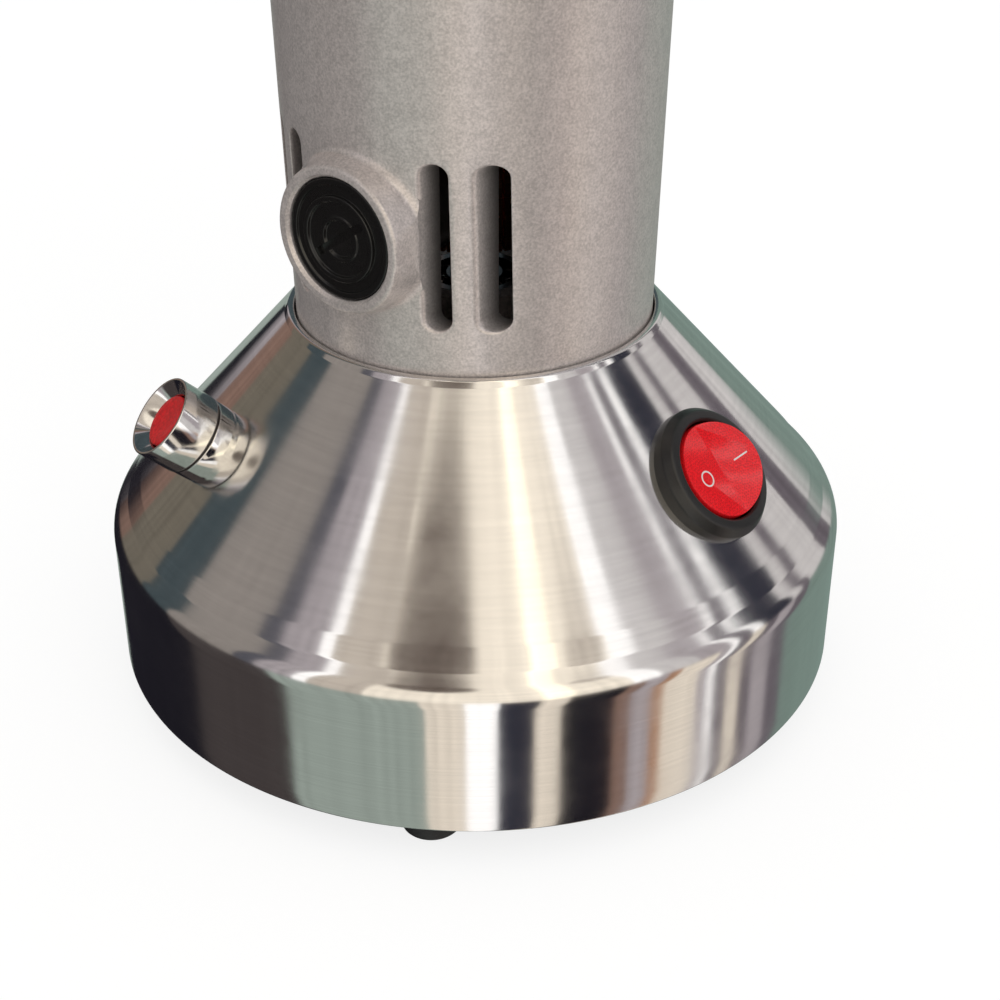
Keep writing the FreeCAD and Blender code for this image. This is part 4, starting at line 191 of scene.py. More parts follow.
class GrinderHopper(bpy.types.PropertyGroup):
    """Sizes of the hopper and its lid."""
    sheet: length("Sheet", "Sheet of the hopper", 1.5 * MM)
    throat_radius: length("Throat radius", "Inner radius of the throat", 17.4 * MM)
    bead: length("Bead", "Height of the rolled rim", 4 * MM)
    knob_radius: length("Knob radius", "Radius of the lid's knob", 15 * MM)
    knob_height: length("Knob height", "Height of the lid's knob", 22 * MM)
    flute_count: IntProperty(name="Flutes", description="Flutes round the knob", default=16, min=3)


class GrinderColours(bpy.types.PropertyGroup):
    """Main colours."""
    steel: tint("Steel", "Polished spun steel", (0.80, 0.785, 0.765))
    casting: tint("Casting", "Sprayed aluminium casting", (0.73, 0.665, 0.635))
    plastic: tint("Black plastic", "Switch bezel, caps and grips", (0.014, 0.0135, 0.013))
    red: tint("Red", "Rocker of the switch", (0.90, 0.012, 0.018))
    rubber: tint("Rubber", "Feet and gaskets", (0.012, 0.013, 0.014))
    floor: tint("Floor", "Floor of the studio", (0.93, 0.93, 0.92))


class GrinderStage(bpy.types.PropertyGroup):
    """Camera and light."""
    lens: FloatProperty(name="Lens", description="Focal length in millimetres", default=64.19, min=1.0)
    camera_distance: length("Camera distance", "Machine's axis to the camera, level", 346.2 * MM)
    camera_height: length("Camera height", "Floor to the camera", 239.08 * MM)
    camera_turn: angle("Camera turn", "Angle of the camera from the front", 8)
    camera_pan: angle("Camera pan", "Turn of the camera away from the axis, to +X", 0.885)
    camera_pitch: angle("Camera pitch", "Angle of the camera below level", 30.4)
    level: FloatProperty(name="Level", description="Strength of the even light", default=0.75, min=0.0)
    key: FloatProperty(name="Key", description="Power of the soft key light in watts", default=2.6, min=0.0)


# Modelling helpers


def activate(*pieces):
    """Select these pieces only, the first one active."""
    bpy.ops.object.select_all(action="DESELECT")
    for piece in pieces:
        piece.select_set(True)
    bpy.context.view_layer.objects.active = pieces[0]


def enter(mode):
    """Switch between object and edit mode."""
    bpy.ops.object.mode_set(mode=mode)


def around(degrees):
    """Turn about the machine's axis."""
    return Matrix.Rotation(math.radians(degrees), 4, "Z")


def facing(degrees, start, level):
    """Frame whose Z points outwards from the machine's axis and whose Y points up."""
    upright = Matrix.Rotation(math.radians(90), 4, "X")
    return around(degrees) @ Matrix.Translation((0, -start, level)) @ upright


def on_cone(base, controls, side):
    """Frame of a control: Z is the cone's outward normal and Y runs up the cone."""
    slope = math.atan2(base.neck_level - base.corner_level, BAND_RADIUS - base.neck_radius)
    place = Matrix.Translation((0, -(base.neck_radius + controls.run * math.cos(slope)),
                                base.neck_level - controls.run * math.sin(slope)))
    return around(side * math.degrees(controls.turn)) @ place @ Matrix.Rotation(slope, 4, "X")


def placed(piece, matrix):
    """Put a piece in its place, in its mesh."""
    activate(piece)
    piece.matrix_world = matrix
    bpy.ops.object.transform_apply(location=True, rotation=True, scale=True)
    return piece


def rounded(corners, steps=5):
    """Points of a closed outline from (across, up) or (across, up, rounding) corners."""
    points = []
    for i, corner in enumerate(corners):
        here = Vector(corner[:2])
        if len(corner) == 2:
            points.append(here)
            continue
        back = Vector(corners[i - 1][:2]) - here
        ahead = Vector(corners[(i + 1) % len(corners)][:2]) - here
        half = back.angle(ahead) / 2
        run = min(corner[2] / math.tan(half), ROUNDING_SHARE * back.length,
                  ROUNDING_SHARE * ahead.length)
        middle = here + (back.normalized() + ahead.normalized()).normalized() * (run / math.cos(half))
        start = here + back.normalized() * run - middle
        sweep = -start.angle_signed(here + ahead.normalized() * run - middle)
        for step in range(steps + 1):
            points.append(middle + Matrix.Rotation(sweep * step / steps, 2) @ start)
    return points


def divided(points, longest):
    """The same closed outline with no stretch longer than this."""
    finer = []
    for i, point in enumerate(points):
        ahead = points[(i + 1) % len(points)]
        parts = max(1, math.ceil((ahead - point).length / longest))
        finer += [point.lerp(ahead, part / parts) for part in range(parts)]
    return finer


def turned(name, points, steps=96):
    """Piece turned about Z from a closed outline of (radius, level) points."""
    on_axis = points[0][0] == 0 and points[-1][0] == 0
    path = list(points) if on_axis else list(points) + [points[0]]
    bpy.ops.object.select_all(action="DESELECT")
    bpy.ops.mesh.primitive_plane_add(size=MM)
    piece = bpy.context.object
    piece.name = name
    enter("EDIT")
    bpy.ops.mesh.merge(type="CENTER")
    bpy.ops.transform.translate(value=(path[0][0], 0, path[0][1]))
    for before, point in zip(path, path[1:]):
        bpy.ops.mesh.extrude_region_move(
            TRANSFORM_OT_translate={"value": (point[0] - before[0], 0, point[1] - before[1])})
    bpy.ops.mesh.select_all(action="SELECT")
    bpy.ops.mesh.spin(steps=steps, angle=math.tau, center=(0, 0, 0), axis=(0, 0, 1))
    bpy.ops.mesh.select_all(action="SELECT")
    bpy.ops.mesh.remove_doubles(threshold=MERGE_DISTANCE)
    bpy.ops.mesh.normals_make_consistent(inside=False)
    enter("OBJECT")
    return piece


def lofted(name, rings):
    """Closed piece through rings of equally many points, with flat ends."""
    bpy.ops.object.select_all(action="DESELECT")
    bpy.ops.mesh.primitive_circle_add(vertices=len(rings[0]), radius=MM, fill_type="NGON")
    piece = bpy.context.object
    piece.name = name
    for vertex, point in zip(piece.data.vertices, rings[0]):
        vertex.co = point
    for ring in rings[1:]:
        enter("EDIT")
        bpy.ops.mesh.select_mode(type="VERT")
        bpy.ops.mesh.extrude_region_move(TRANSFORM_OT_translate={"value": (0, 0, 0)})
        enter("OBJECT")
        moved = [vertex for vertex in piece.data.vertices if vertex.select]
        for vertex, point in zip(moved, ring):
            vertex.co = point
    enter("EDIT")
    bpy.ops.mesh.select_all(action="SELECT")
    bpy.ops.mesh.normals_make_consistent(inside=False)
    enter("OBJECT")
    return piece


def sawn(name, points, width):
    """Plate with an outline of (along Y, up Z) points, this wide across X."""
    return lofted(name, [[(side * width / 2, across, up) for across, up in points] for side in (-1, 1)])


def rod(name, radius, start, end, matrix, sides=64):
    """Plain rod along Z, for cutting holes."""
    bpy.ops.object.select_all(action="DESELECT")
    bpy.ops.mesh.primitive_cylinder_add(vertices=sides, radius=radius, depth=end - start,
                                        location=(0, 0, (start + end) / 2))
    piece = bpy.context.object
    piece.name = name
    return placed(piece, matrix @ piece.matrix_basis)


def brick(name, low, high):
    """Plain block between two corners, for cutting and joining."""
    bpy.ops.object.select_all(action="DESELECT")
    bpy.ops.mesh.primitive_cube_add(size=1, location=(Vector(low) + Vector(high)) / 2,
                                    scale=Vector(high) - Vector(low))
    piece = bpy.context.object
    piece.name = name
    return placed(piece, piece.matrix_basis.copy())


def joined(pieces):
    """Several meshes as one object."""
    activate(*pieces)
    if len(pieces) > 1:
        bpy.ops.object.join()
    return pieces[0]


def copied(piece, matrix, name):
    """Copy with its own mesh, moved by a matrix."""
    activate(piece)
    bpy.ops.object.duplicate()
    twin = bpy.context.object
    twin.name = name
    return placed(twin, matrix)


def spread(piece, name, places):
    """A piece at each place in turn: numbered copies, and the piece itself at the last."""
    for i, place in enumerate(places[:-1]):
        yield copied(piece, place, "%s_%d" % (name, i + 1))
    yield placed(piece, places[-1])


def round_places(count, radius, offset=0.0, level=0.0):
    """Places spread evenly round the machine's axis, the first moved on by a share of a step."""
    return [around(WHOLE_TURN / count * (i + offset)) @ Matrix.Translation((0, -radius, level))
            for i in range(count)]


def apply_modifier(piece, modifier):
    """Make a modifier part of the piece's mesh."""
    activate(piece)
    bpy.ops.object.modifier_apply(modifier=modifier.name)
    return piece


def carved(piece, tools, operation="DIFFERENCE"):
    """Cut tools out of a piece, or join them with it; the tools are used up."""
    tool = joined(tools)
    modifier = piece.modifiers.new("carve", "BOOLEAN")
    modifier.operation = operation
    modifier.solver = "EXACT"
    modifier.object = tool
    modifier.use_self = False
    apply_modifier(piece, modifier)
    bpy.data.objects.remove(tool)
    return piece


def softened(piece, width, sharp=40, segments=2):
    """Round the sharp edges of a piece."""
    modifier = piece.modifiers.new("soften", "BEVEL")
    modifier.width = width
    modifier.segments = segments
    modifier.limit_method = "ANGLE"
    modifier.angle_limit = math.radians(sharp)
    modifier.use_clamp_overlap = True
    return apply_modifier(piece, modifier)


def finished(piece, body, slot, nodes=(), material=None, smooth=33):
    """Shade a piece, give it its finish and let it ride on its body."""
    activate(piece)
    bpy.ops.object.shade_smooth_by_angle(angle=math.radians(smooth))
    piece.data.materials.clear()
    piece.data.materials.append(bpy.data.materials["grinder_" + (material or slot)])
    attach(piece, body)
    if nodes:
        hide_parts(*nodes)


def circle(radius, sides):
    """Points round a circle."""
    return [(radius * math.cos(math.tau * i / sides), radius * math.sin(math.tau * i / sides))
            for i in range(sides)]


def upright_slot(width, tall, grow, steps=10):
    """Points round an upright slot with round ends, grown outwards."""
    radius = width / 2 + grow
    half = (tall - width) / 2
    points = []
    for end, first in ((half, 0), (-half, 180)):
        for step in range(steps + 1):
            turn = math.radians(first + 180 * step / steps)
            points.append((radius * math.cos(turn), end + radius * math.sin(turn)))
    return points


# Shader groups


def new_node(tree, kind, inputs=None, **settings):
    """New shader node with its settings, its inputs given as values or as sockets to link."""
    node = tree.nodes.new("ShaderNode" + kind)
    for label, value in settings.items():
        setattr(node, label, value)
    for label, value in (inputs or {}).items():
        if isinstance(value, bpy.types.NodeSocket):
            tree.links.new(value, node.inputs[label])
        else:
            node.inputs[label].default_value = value
    return node


def math_node(tree, operation, *values):
    """Math node whose inputs are numbers or sockets, and its output."""
    return new_node(tree, "Math", dict(enumerate(values)), operation=operation).outputs[0]


def mixed(tree, factor, first, second):
    """Colour that goes from the first to the second as the factor goes from 0 to 1."""
    mix = new_node(tree, "Mix", {"Factor": factor, "A": first, "B": second}, data_type="RGBA")
    return mix.outputs["Result"]


def noise_node(tree, vector, scale, detail=2.0, roughness=0.5):
    """Noise texture read at a vector, and its value."""
    inputs = {"Vector": vector, "Scale": scale, "Detail": detail, "Roughness": roughness}
    return new_node(tree, "TexNoise", inputs).outputs["Fac"]


def contrast(tree, value, low, high):
    """Value stretched so that low becomes 0 and high becomes 1."""
    return new_node(tree, "MapRange", {"Value": value, "From Min": low, "From Max": high}).outputs["Result"]


def place_of(tree):
    """Object coordinates: the vector, its parts and the distance from the machine's axis."""
    vector = new_node(tree, "TexCoord").outputs["Object"]
    parts = new_node(tree, "SeparateXYZ", {0: vector}).outputs
    squares = math_node(tree, "ADD", math_node(tree, "POWER", parts["X"], 2.0),
                        math_node(tree, "POWER", parts["Y"], 2.0))
    reach = math_node(tree, "MAXIMUM", math_node(tree, "SQRT", squares), 1e-5)
    return vector, parts, reach


def turned_lines(tree, entry):
    """Fine lines round the machine's axis, as a spinning tool leaves them."""
    _, parts, reach = place_of(tree)
    profile = math_node(tree, "ADD", math_node(tree, "MULTIPLY", reach, 0.9), parts["Z"])
    where = {axis: math_node(tree, "MULTIPLY", math_node(tree, "DIVIDE", parts[axis], reach), 1.8)
             for axis in ("X", "Y")}
    where["Z"] = math_node(tree, "DIVIDE", profile, entry["Pitch"])
    lines = noise_node(tree, new_node(tree, "CombineXYZ", where).outputs[0], 1.0, 3.0, 0.65)
    return {"Shade": contrast(tree, lines, 0.35, 0.68), "Height": lines}


def speckle(tree, entry):
    """Fine irregular grain, as on a sprayed casting or a moulded plastic."""
    vector = place_of(tree)[0]
    scale = math_node(tree, "DIVIDE", 1.0, entry["Pitch"])
    fine = noise_node(tree, vector, scale, 2.5, 0.6)
    coarse = noise_node(tree, vector, math_node(tree, "MULTIPLY", scale, 0.22), 2.0, 0.5)
    blend = math_node(tree, "ADD", math_node(tree, "MULTIPLY", fine, 0.75),
                      math_node(tree, "MULTIPLY", coarse, 0.25))
    return {"Shade": contrast(tree, blend, 0.36, 0.64), "Height": blend}


def stacked_sheets(tree, entry):
    """Level lines one above the other, as on a stack of laminations or a wound coil."""
    vector, parts, _ = place_of(tree)
    row = math_node(tree, "DIVIDE", parts["Z"], entry["Pitch"])
    wobble = math_node(tree, "MULTIPLY", noise_node(tree, vector, 300.0, 2.0), 0.4)
    wave = math_node(tree, "PINGPONG", math_node(tree, "ADD", row, wobble), 0.5)
    height = math_node(tree, "MULTIPLY", wave, 2.0)
    return {"Shade": math_node(tree, "POWER", height, 0.5), "Height": height}


def prism_cells(tree, entry):
    """Small facets side by side, as inside a clear switch rocker."""
    inputs = {"Vector": place_of(tree)[0], "Scale": math_node(tree, "DIVIDE", 1.0, entry["Pitch"]),
              "Randomness": 0.55}
    distance = new_node(tree, "TexVoronoi", inputs, feature="F1").outputs["Distance"]
    return {"Shade": contrast(tree, distance, 0.15, 0.75), "Height": distance}


def handling(tree, entry):
    """Broad soft patches, as handling and cleaning leave on a surface."""
    scale = math_node(tree, "DIVIDE", 1.0, entry["Pitch"])
    return {"Mask": contrast(tree, noise_node(tree, place_of(tree)[0], scale, 4.0, 0.6), 0.38, 0.66)}


def bare_core(tree, entry):
    """Painted shade: mask that falls from one at the sprayed outside of a casting to nothing at its bore,
    where the colour is darkened as if in shade.
    """
    outwards = contrast(tree, place_of(tree)[2], entry["Inner"], entry["Outer"])
    return {"Mask": math_node(tree, "POWER", outwards, 1.5)}


SHADER_GROUPS = {
    turned_lines: {"Pitch": 0.5 * MM},
    speckle: {"Pitch": 0.5 * MM},
    stacked_sheets: {"Pitch": 0.5 * MM},
    prism_cells: {"Pitch": 0.5 * MM},
    handling: {"Pitch": 20 * MM},
    # Painted shade inside the casting's slots and bores, between these radii.
    bare_core: {"Inner": 31.5 * MM, "Outer": 37.35 * MM},
}


def make_group(recipe, inputs):
    """Shader group named for its recipe, which gives the outputs from the inputs."""
    tree = bpy.data.node_groups.new(recipe.__name__, "ShaderNodeTree")
    for label, amount in inputs.items():
        socket = tree.interface.new_socket(name=label, in_out="INPUT", socket_type="NodeSocketFloat")
        socket.default_value = amount
    outputs = recipe(tree, tree.nodes.new("NodeGroupInput").outputs)
    for label in outputs:
        tree.interface.new_socket(name=label, in_out="OUTPUT", socket_type="NodeSocketFloat")
    way_out = tree.nodes.new("NodeGroupOutput")
    for label, value in outputs.items():
        tree.links.new(value, way_out.inputs[label])


def grouped(tree, name, **inputs):
    """A shader group placed in a material, with its own values, and its outputs."""
    return new_node(tree, "Group", inputs, node_tree=bpy.data.node_groups[name]).outputs


def shade_of(colour, share):
    """Darker or lighter tone of a colour."""
    return tuple(min(1.0, part * share) for part in colour)


def finish(name, colour, other, pattern, pitch, metallic=0.0, roughness=0.4, spread=0.06, bump=0.1,
           depth=0.02 * MM, shade_to_bore=False, turned_gloss=False, **constants):
    """Material: two tones mixed by a pattern, painted shade towards the bore where asked, roughness varied
    by handling, and the pattern's relief.
    """
    material = bpy.data.materials.new("grinder_" + name)
    material.use_nodes = True
    tree = material.node_tree
    shader = tree.nodes["Principled BSDF"].inputs
    shader["Metallic"].default_value = metallic
    for label, amount in constants.items():
        shader[label.replace("_", " ")].default_value = amount
    grain = grouped(tree, pattern, Pitch=pitch)
    tone = mixed(tree, grain["Shade"], (*other, 1), (*colour, 1))
    # Painted shade: the colour goes dark towards the bore, standing in for the shade inside slots and
    # bores.
    if shade_to_bore:
        tone = mixed(tree, grouped(tree, "bare_core")["Mask"], (*shade_of(colour, 0.16), 1), tone)
    tree.links.new(tone, shader["Base Color"])
    gloss = new_node(tree, "MapRange", {
        "Value": grouped(tree, "handling", Pitch=20 * MM)["Mask"],
        "To Min": max(0.0, roughness - spread), "To Max": roughness + spread})
    tree.links.new(gloss.outputs["Result"], shader["Roughness"])
    relief = new_node(tree, "Bump", {"Strength": bump, "Distance": depth, "Height": grain["Height"]})
    tree.links.new(relief.outputs["Normal"], shader["Normal"])
    if turned_gloss:
        around_axis = new_node(tree, "Tangent", direction_type="RADIAL", axis="Z")
        tree.links.new(around_axis.outputs["Tangent"], shader["Tangent"])


class GRINDER_OT_finishes(bpy.types.Operator):
    """Make every material, and give each CAD node the one of its slot"""
    bl_idname = "grinder.finishes"
    bl_label = "Finishes"

    def execute(self, context):
        for recipe, inputs in SHADER_GROUPS.items():
            make_group(recipe, inputs)
        colours = context.scene.grinder_colours
        steel, casting, black, red, rubber = (tuple(colour) for colour in (
            colours.steel, colours.casting, colours.plastic, colours.red, colours.rubber))
        across_lines = {"turned_gloss": True, "Anisotropic_Rotation": 0.25}
        finish("spun_steel", steel, shade_of(steel, 0.93), "turned_lines", 0.22 * MM, metallic=1.0,
               roughness=0.135, spread=0.03, bump=0.05, Anisotropic=0.85, **across_lines)
        finish("hopper_steel", shade_of(steel, 1.02), shade_of(steel, 0.88), "turned_lines", 0.5 * MM,
               metallic=1.0, roughness=0.24, spread=0.05, bump=0.1, Anisotropic=0.75, **across_lines)
        finish("head_steel", shade_of(steel, 0.98), shade_of(steel, 0.84), "turned_lines", 0.3 * MM,
               metallic=1.0, roughness=0.22, spread=0.06, bump=0.1, Anisotropic=0.6, **across_lines)
        # The casting's colour is darkened towards its bore as painted shade inside the air slots.
        finish("cast_aluminium", casting, shade_of(casting, 0.68), "speckle", 0.5 * MM, metallic=0.5,
               roughness=0.35, spread=0.04, bump=0.45, depth=0.04 * MM, shade_to_bore=True)
        finish("frame_casting", shade_of(casting, 0.85), shade_of(casting, 0.6), "speckle", 0.8 * MM,
               metallic=0.8, roughness=0.5, spread=0.08, bump=0.5, depth=0.1 * MM)
        finish("bottom_paint", (0.05, 0.052, 0.055), (0.035, 0.036, 0.04), "speckle", 0.6 * MM,
               roughness=0.42, spread=0.05, bump=0.3, depth=0.05 * MM)
        finish("black_plastic", black, shade_of(black, 0.72), "speckle", 0.25 * MM,
               roughness=0.34, spread=0.05, bump=0.16, depth=0.03 * MM)
        finish("cap_plastic", shade_of(black, 0.55), shade_of(black, 0.4), "speckle", 0.35 * MM,
               roughness=0.2, bump=0.08)
        finish("case_plastic", (0.045, 0.036, 0.032), (0.026, 0.021, 0.019), "speckle", 0.4 * MM,
               roughness=0.38, bump=0.2, depth=0.03 * MM)
        finish("rocker_red", shade_of(red, 1.12), shade_of(red, 0.66), "prism_cells", 0.42 * MM,
               roughness=0.16, spread=0.03, bump=0.25, depth=0.04 * MM, Coat_Weight=0.5,
               Coat_Roughness=0.08, Subsurface_Weight=0.15, Subsurface_Scale=MM)
        finish("button_red", shade_of(red, 0.82), shade_of(red, 0.5), "speckle", 0.7 * MM, roughness=0.3,
               bump=0.2, depth=0.04 * MM)
        finish("mark_white", (0.86, 0.80, 0.78), (0.75, 0.68, 0.66), "speckle", 0.3 * MM)
        finish("mark_dark", (0.03, 0.03, 0.03), (0.05, 0.05, 0.05), "speckle", 0.3 * MM, roughness=0.45)
        finish("chrome", (0.80, 0.79, 0.77), (0.74, 0.73, 0.71), "speckle", 0.9 * MM, metallic=1.0,
               roughness=0.09, spread=0.04, bump=0.04)
        finish("rubber", rubber, shade_of(rubber, 1.7), "speckle", 0.4 * MM, roughness=0.62, spread=0.08,
               bump=0.3, depth=0.05 * MM)
        finish("seal_rubber", (0.035, 0.016, 0.012), (0.022, 0.010, 0.008), "speckle", 0.4 * MM,
               roughness=0.5, bump=0.25, depth=0.04 * MM)
        finish("screw_steel", (0.60, 0.59, 0.57), (0.48, 0.47, 0.46), "speckle", 0.3 * MM, metallic=1.0,
               roughness=0.26, bump=0.12)
        # Painted shade: bearing steel is darker than bare steel, standing in for the shade inside the
        # housing.
        finish("bearing_steel", (0.28, 0.27, 0.27), (0.21, 0.20, 0.20), "turned_lines", 0.2 * MM,
               metallic=1.0, roughness=0.16, spread=0.05, bump=0.08)
        finish("disc_steel", (0.55, 0.54, 0.53), (0.42, 0.41, 0.40), "turned_lines", 0.35 * MM,
               metallic=1.0, roughness=0.32, bump=0.2)
        finish("laminations", (0.34, 0.33, 0.33), (0.10, 0.10, 0.11), "stacked_sheets", 0.5 * MM,
               metallic=0.9, roughness=0.42, bump=0.5, depth=0.05 * MM)
        # Painted shade: the winding and commutator colours are darker than bare copper, standing in for the
        # shade inside the housing.
        finish("enamelled_copper", (0.34, 0.11, 0.035), (0.11, 0.03, 0.01), "stacked_sheets", 0.7 * MM,
               metallic=0.6, roughness=0.28, bump=0.8, depth=0.15 * MM, Coat_Weight=0.4, Coat_Roughness=0.1)
        finish("copper", (0.55, 0.27, 0.15), (0.34, 0.15, 0.08), "turned_lines", 0.3 * MM, metallic=1.0,
               roughness=0.25, bump=0.12)
        finish("brass", (0.72, 0.52, 0.22), (0.58, 0.40, 0.15), "speckle", 0.5 * MM, metallic=1.0,
               roughness=0.28)
        finish("carbon", (0.03, 0.03, 0.032), (0.015, 0.015, 0.016), "speckle", 0.5 * MM, metallic=0.2,
               roughness=0.55, bump=0.3, depth=0.05 * MM)
        finish("wire_insulation", (0.10, 0.045, 0.02), (0.07, 0.03, 0.014), "speckle", 0.4 * MM,
               roughness=0.36)
        for entry in frame["record"]["subparts"]:
            mesh = frame["nodes"][entry["node"]].data
            mesh.materials.clear()
            mesh.materials.append(bpy.data.materials["grinder_" + entry["material_slot"]])
        return {"FINISHED"}


class GRINDER_OT_base(bpy.types.Operator):
    """Spun base shell with its lip, its rounded shoulder and the holes for the controls"""
    bl_idname = "grinder.base"
    bl_label = "Base shell"

    def execute(self, context):
        base = context.scene.grinder_base
        controls = context.scene.grinder_controls
        drop = (base.neck_level - base.corner_level) / (BAND_RADIUS - base.neck_radius)
        slant = math.hypot(1, drop)
        inside = BAND_RADIUS - base.sheet
        lip_low = base.neck_level - base.lip_width * drop
        lip_top = lip_low + base.lip_rise

        def up_cone(run, dent=0):
            """Point this far up the cone from its corner, pressed in by a dent."""
            return BAND_RADIUS - run / slant - dent, base.corner_level + run * drop / slant

        outline = rounded([
            (inside, BAND_LOW),
            (BAND_RADIUS, BAND_LOW, 0.5 * MM),
            (BAND_RADIUS, base.corner_level, base.corner_round),
            (*up_cone(5 * MM, dent=0.3 * MM), 5 * MM),
            (*up_cone(10 * MM), 9 * MM),
            (base.neck_radius + base.lip_width, lip_low, MM),
            (base.neck_radius + 0.6 * base.lip_width, lip_top, 0.9 * MM),
            (base.neck_radius, lip_top, 0.35 * MM),
            (base.neck_radius, base.neck_level - base.sheet * slant - 0.9 * MM),
            (inside, base.corner_level + base.sheet * (drop - slant), base.corner_round),
        ], steps=12)
        shell = turned("spun_base", divided(outline, 3 * MM), steps=240)
        switch_hole, protector_hole, gland_hole = 12.6 * MM, 8.2 * MM, 7.7 * MM
        holes = [rod("hole", radius, -10 * MM, 10 * MM, place) for radius, place in (
            (switch_hole, on_cone(base, controls, 1)),
            (protector_hole, on_cone(base, controls, -1)),
            (gland_hole, facing(180, BAND_RADIUS, base.gland_level)))]
        finished(carved(shell, holes), "stand", "spun_steel", ["base_shell"])
        return {"FINISHED"}


class GRINDER_OT_feet(bpy.types.Operator):
    """Rubber feet with their recesses, and the screws in them"""
    bl_idname = "grinder.feet"
    bl_label = "Feet"

    def execute(self, context):
        base = context.scene.grinder_base
        hole, recess, recess_level = 2.2 * MM, 3.9 * MM, 4.5 * MM
        foot = turned("rubber_foot_0", rounded([
            (hole, FOOT_TOP),
            (hole, recess_level),
            (recess, recess_level),
            (recess, 0, 0.5 * MM),
            (6.0 * MM, 0, 0.8 * MM),
            (6.6 * MM, 3.2 * MM, 0.3 * MM),
            (6.3 * MM, 3.6 * MM, 0.2 * MM),
            (6.4 * MM, 4.2 * MM, 0.3 * MM),
            (7.2 * MM, FOOT_TOP - 1.4 * MM, 0.5 * MM),
            (7.4 * MM, FOOT_TOP, 0.2 * MM),
        ], steps=4), steps=64)
        screw = socket_screw("foot_screw_0", 2 * MM, 3.5 * MM, 2.4 * MM, 15 * MM)
        places = round_places(base.foot_count, base.foot_circle)
        upside_down = Matrix.Translation((0, 0, recess_level)) @ Matrix.Rotation(math.radians(180), 4, "X")
        feet = spread(foot, "rubber_foot", places)
        screws = spread(screw, "foot_screw", [place @ upside_down for place in places])
        for one_foot, one_screw in zip(feet, screws):
            finished(one_foot, "stand", "rubber", ["rubber_feet"])
            finished(one_screw, "stand", "screw_steel", ["foot_screws"])
        return {"FINISHED"}


def socket_screw(name, shank, head, height, grip):
    """Socket screw that hangs down from the underside of its head."""
    socket_mouth = 0.56 * head
    face = height - 0.15 * MM
    screw = turned(name, rounded([
        (0, -grip),
        (shank, -grip, 0.4 * MM),
        (shank, -0.001 * MM),
        (head, 0, 0.12 * MM),
        (head, height, 0.16 * height),
        (0.62 * head, height, 0.1 * MM),
        (socket_mouth, face),
        (0, face),
    ], steps=3), steps=48)
    socket = rod("socket", 0.5 * head, 0.45 * height, 1.5 * height, Matrix.Identity(4), sides=6)
    return softened(carved(screw, [socket]), 0.05 * MM, sharp=55, segments=1)


def neck_level():
    """Level of the neck, where the housing's taper starts."""
    return bpy.context.scene.grinder_base.neck_level


def wall_reach(housing, across, level):
    """Depth of the housing's outer wall, this far beside the axis and at this level."""
    radius = housing.radius + (level - neck_level()) * math.tan(housing.taper)
    return math.sqrt(radius * radius - across * across)


def slot_tools(housing, turn, across, width, tall, level):
    """Flared rim and straight cut of a slot that runs parallel to one radius of the housing."""
    def ring(grow, below=0, depth=None):
        """Outline of the slot, grown, and below the outer wall or at one depth all round."""
        points = []
        for side, up in upright_slot(width, tall, grow):
            out = wall_reach(housing, across + side, level + up) - below if depth is None else depth
            points.append(around(turn) @ Vector((across + side, -out, level + up)))
        return points

    rim = housing.slot_rim
    flare = [ring(-0.4 * width, 1.6 * rim)] + [ring(grow * rim, below * rim) for grow, below in SLOT_FLARE]
    straight = [ring(0, depth=depth) for depth in (15 * MM, 1.3 * housing.radius)]
    return lofted("slot_flare", flare), lofted("slot_cut", straight)


def brush_boss(housing, turn):
    """Boss for a brush, with draft and a fillet that follows the round housing."""
    fillet = 1.5 * MM
    edge = 0.9 * MM

    def ring(radius, rise=0, out=None):
        """Circle round the brush axis, above the outer wall or at one depth all round."""
        points = []
        for side, up in circle(radius, 120):
            level = housing.brush_level + up
            depth = wall_reach(housing, side, level) + rise if out is None else out
            points.append(around(turn) @ Vector((side, -depth, level)))
        return points

    quarter = [math.radians(15 * step) for step in range(7)]
    rings = [ring(housing.boss_root + fillet, rise=-1.2 * MM)]
    rings += [ring(housing.boss_root + fillet * (1 - math.sin(t)), rise=fillet * (1 - math.cos(t)))
              for t in quarter]
    rings += [ring(housing.boss_radius - edge * (1 - math.cos(t)),
                   out=housing.boss_reach - edge * (1 - math.sin(t))) for t in quarter]
    return lofted("brush_boss", rings)


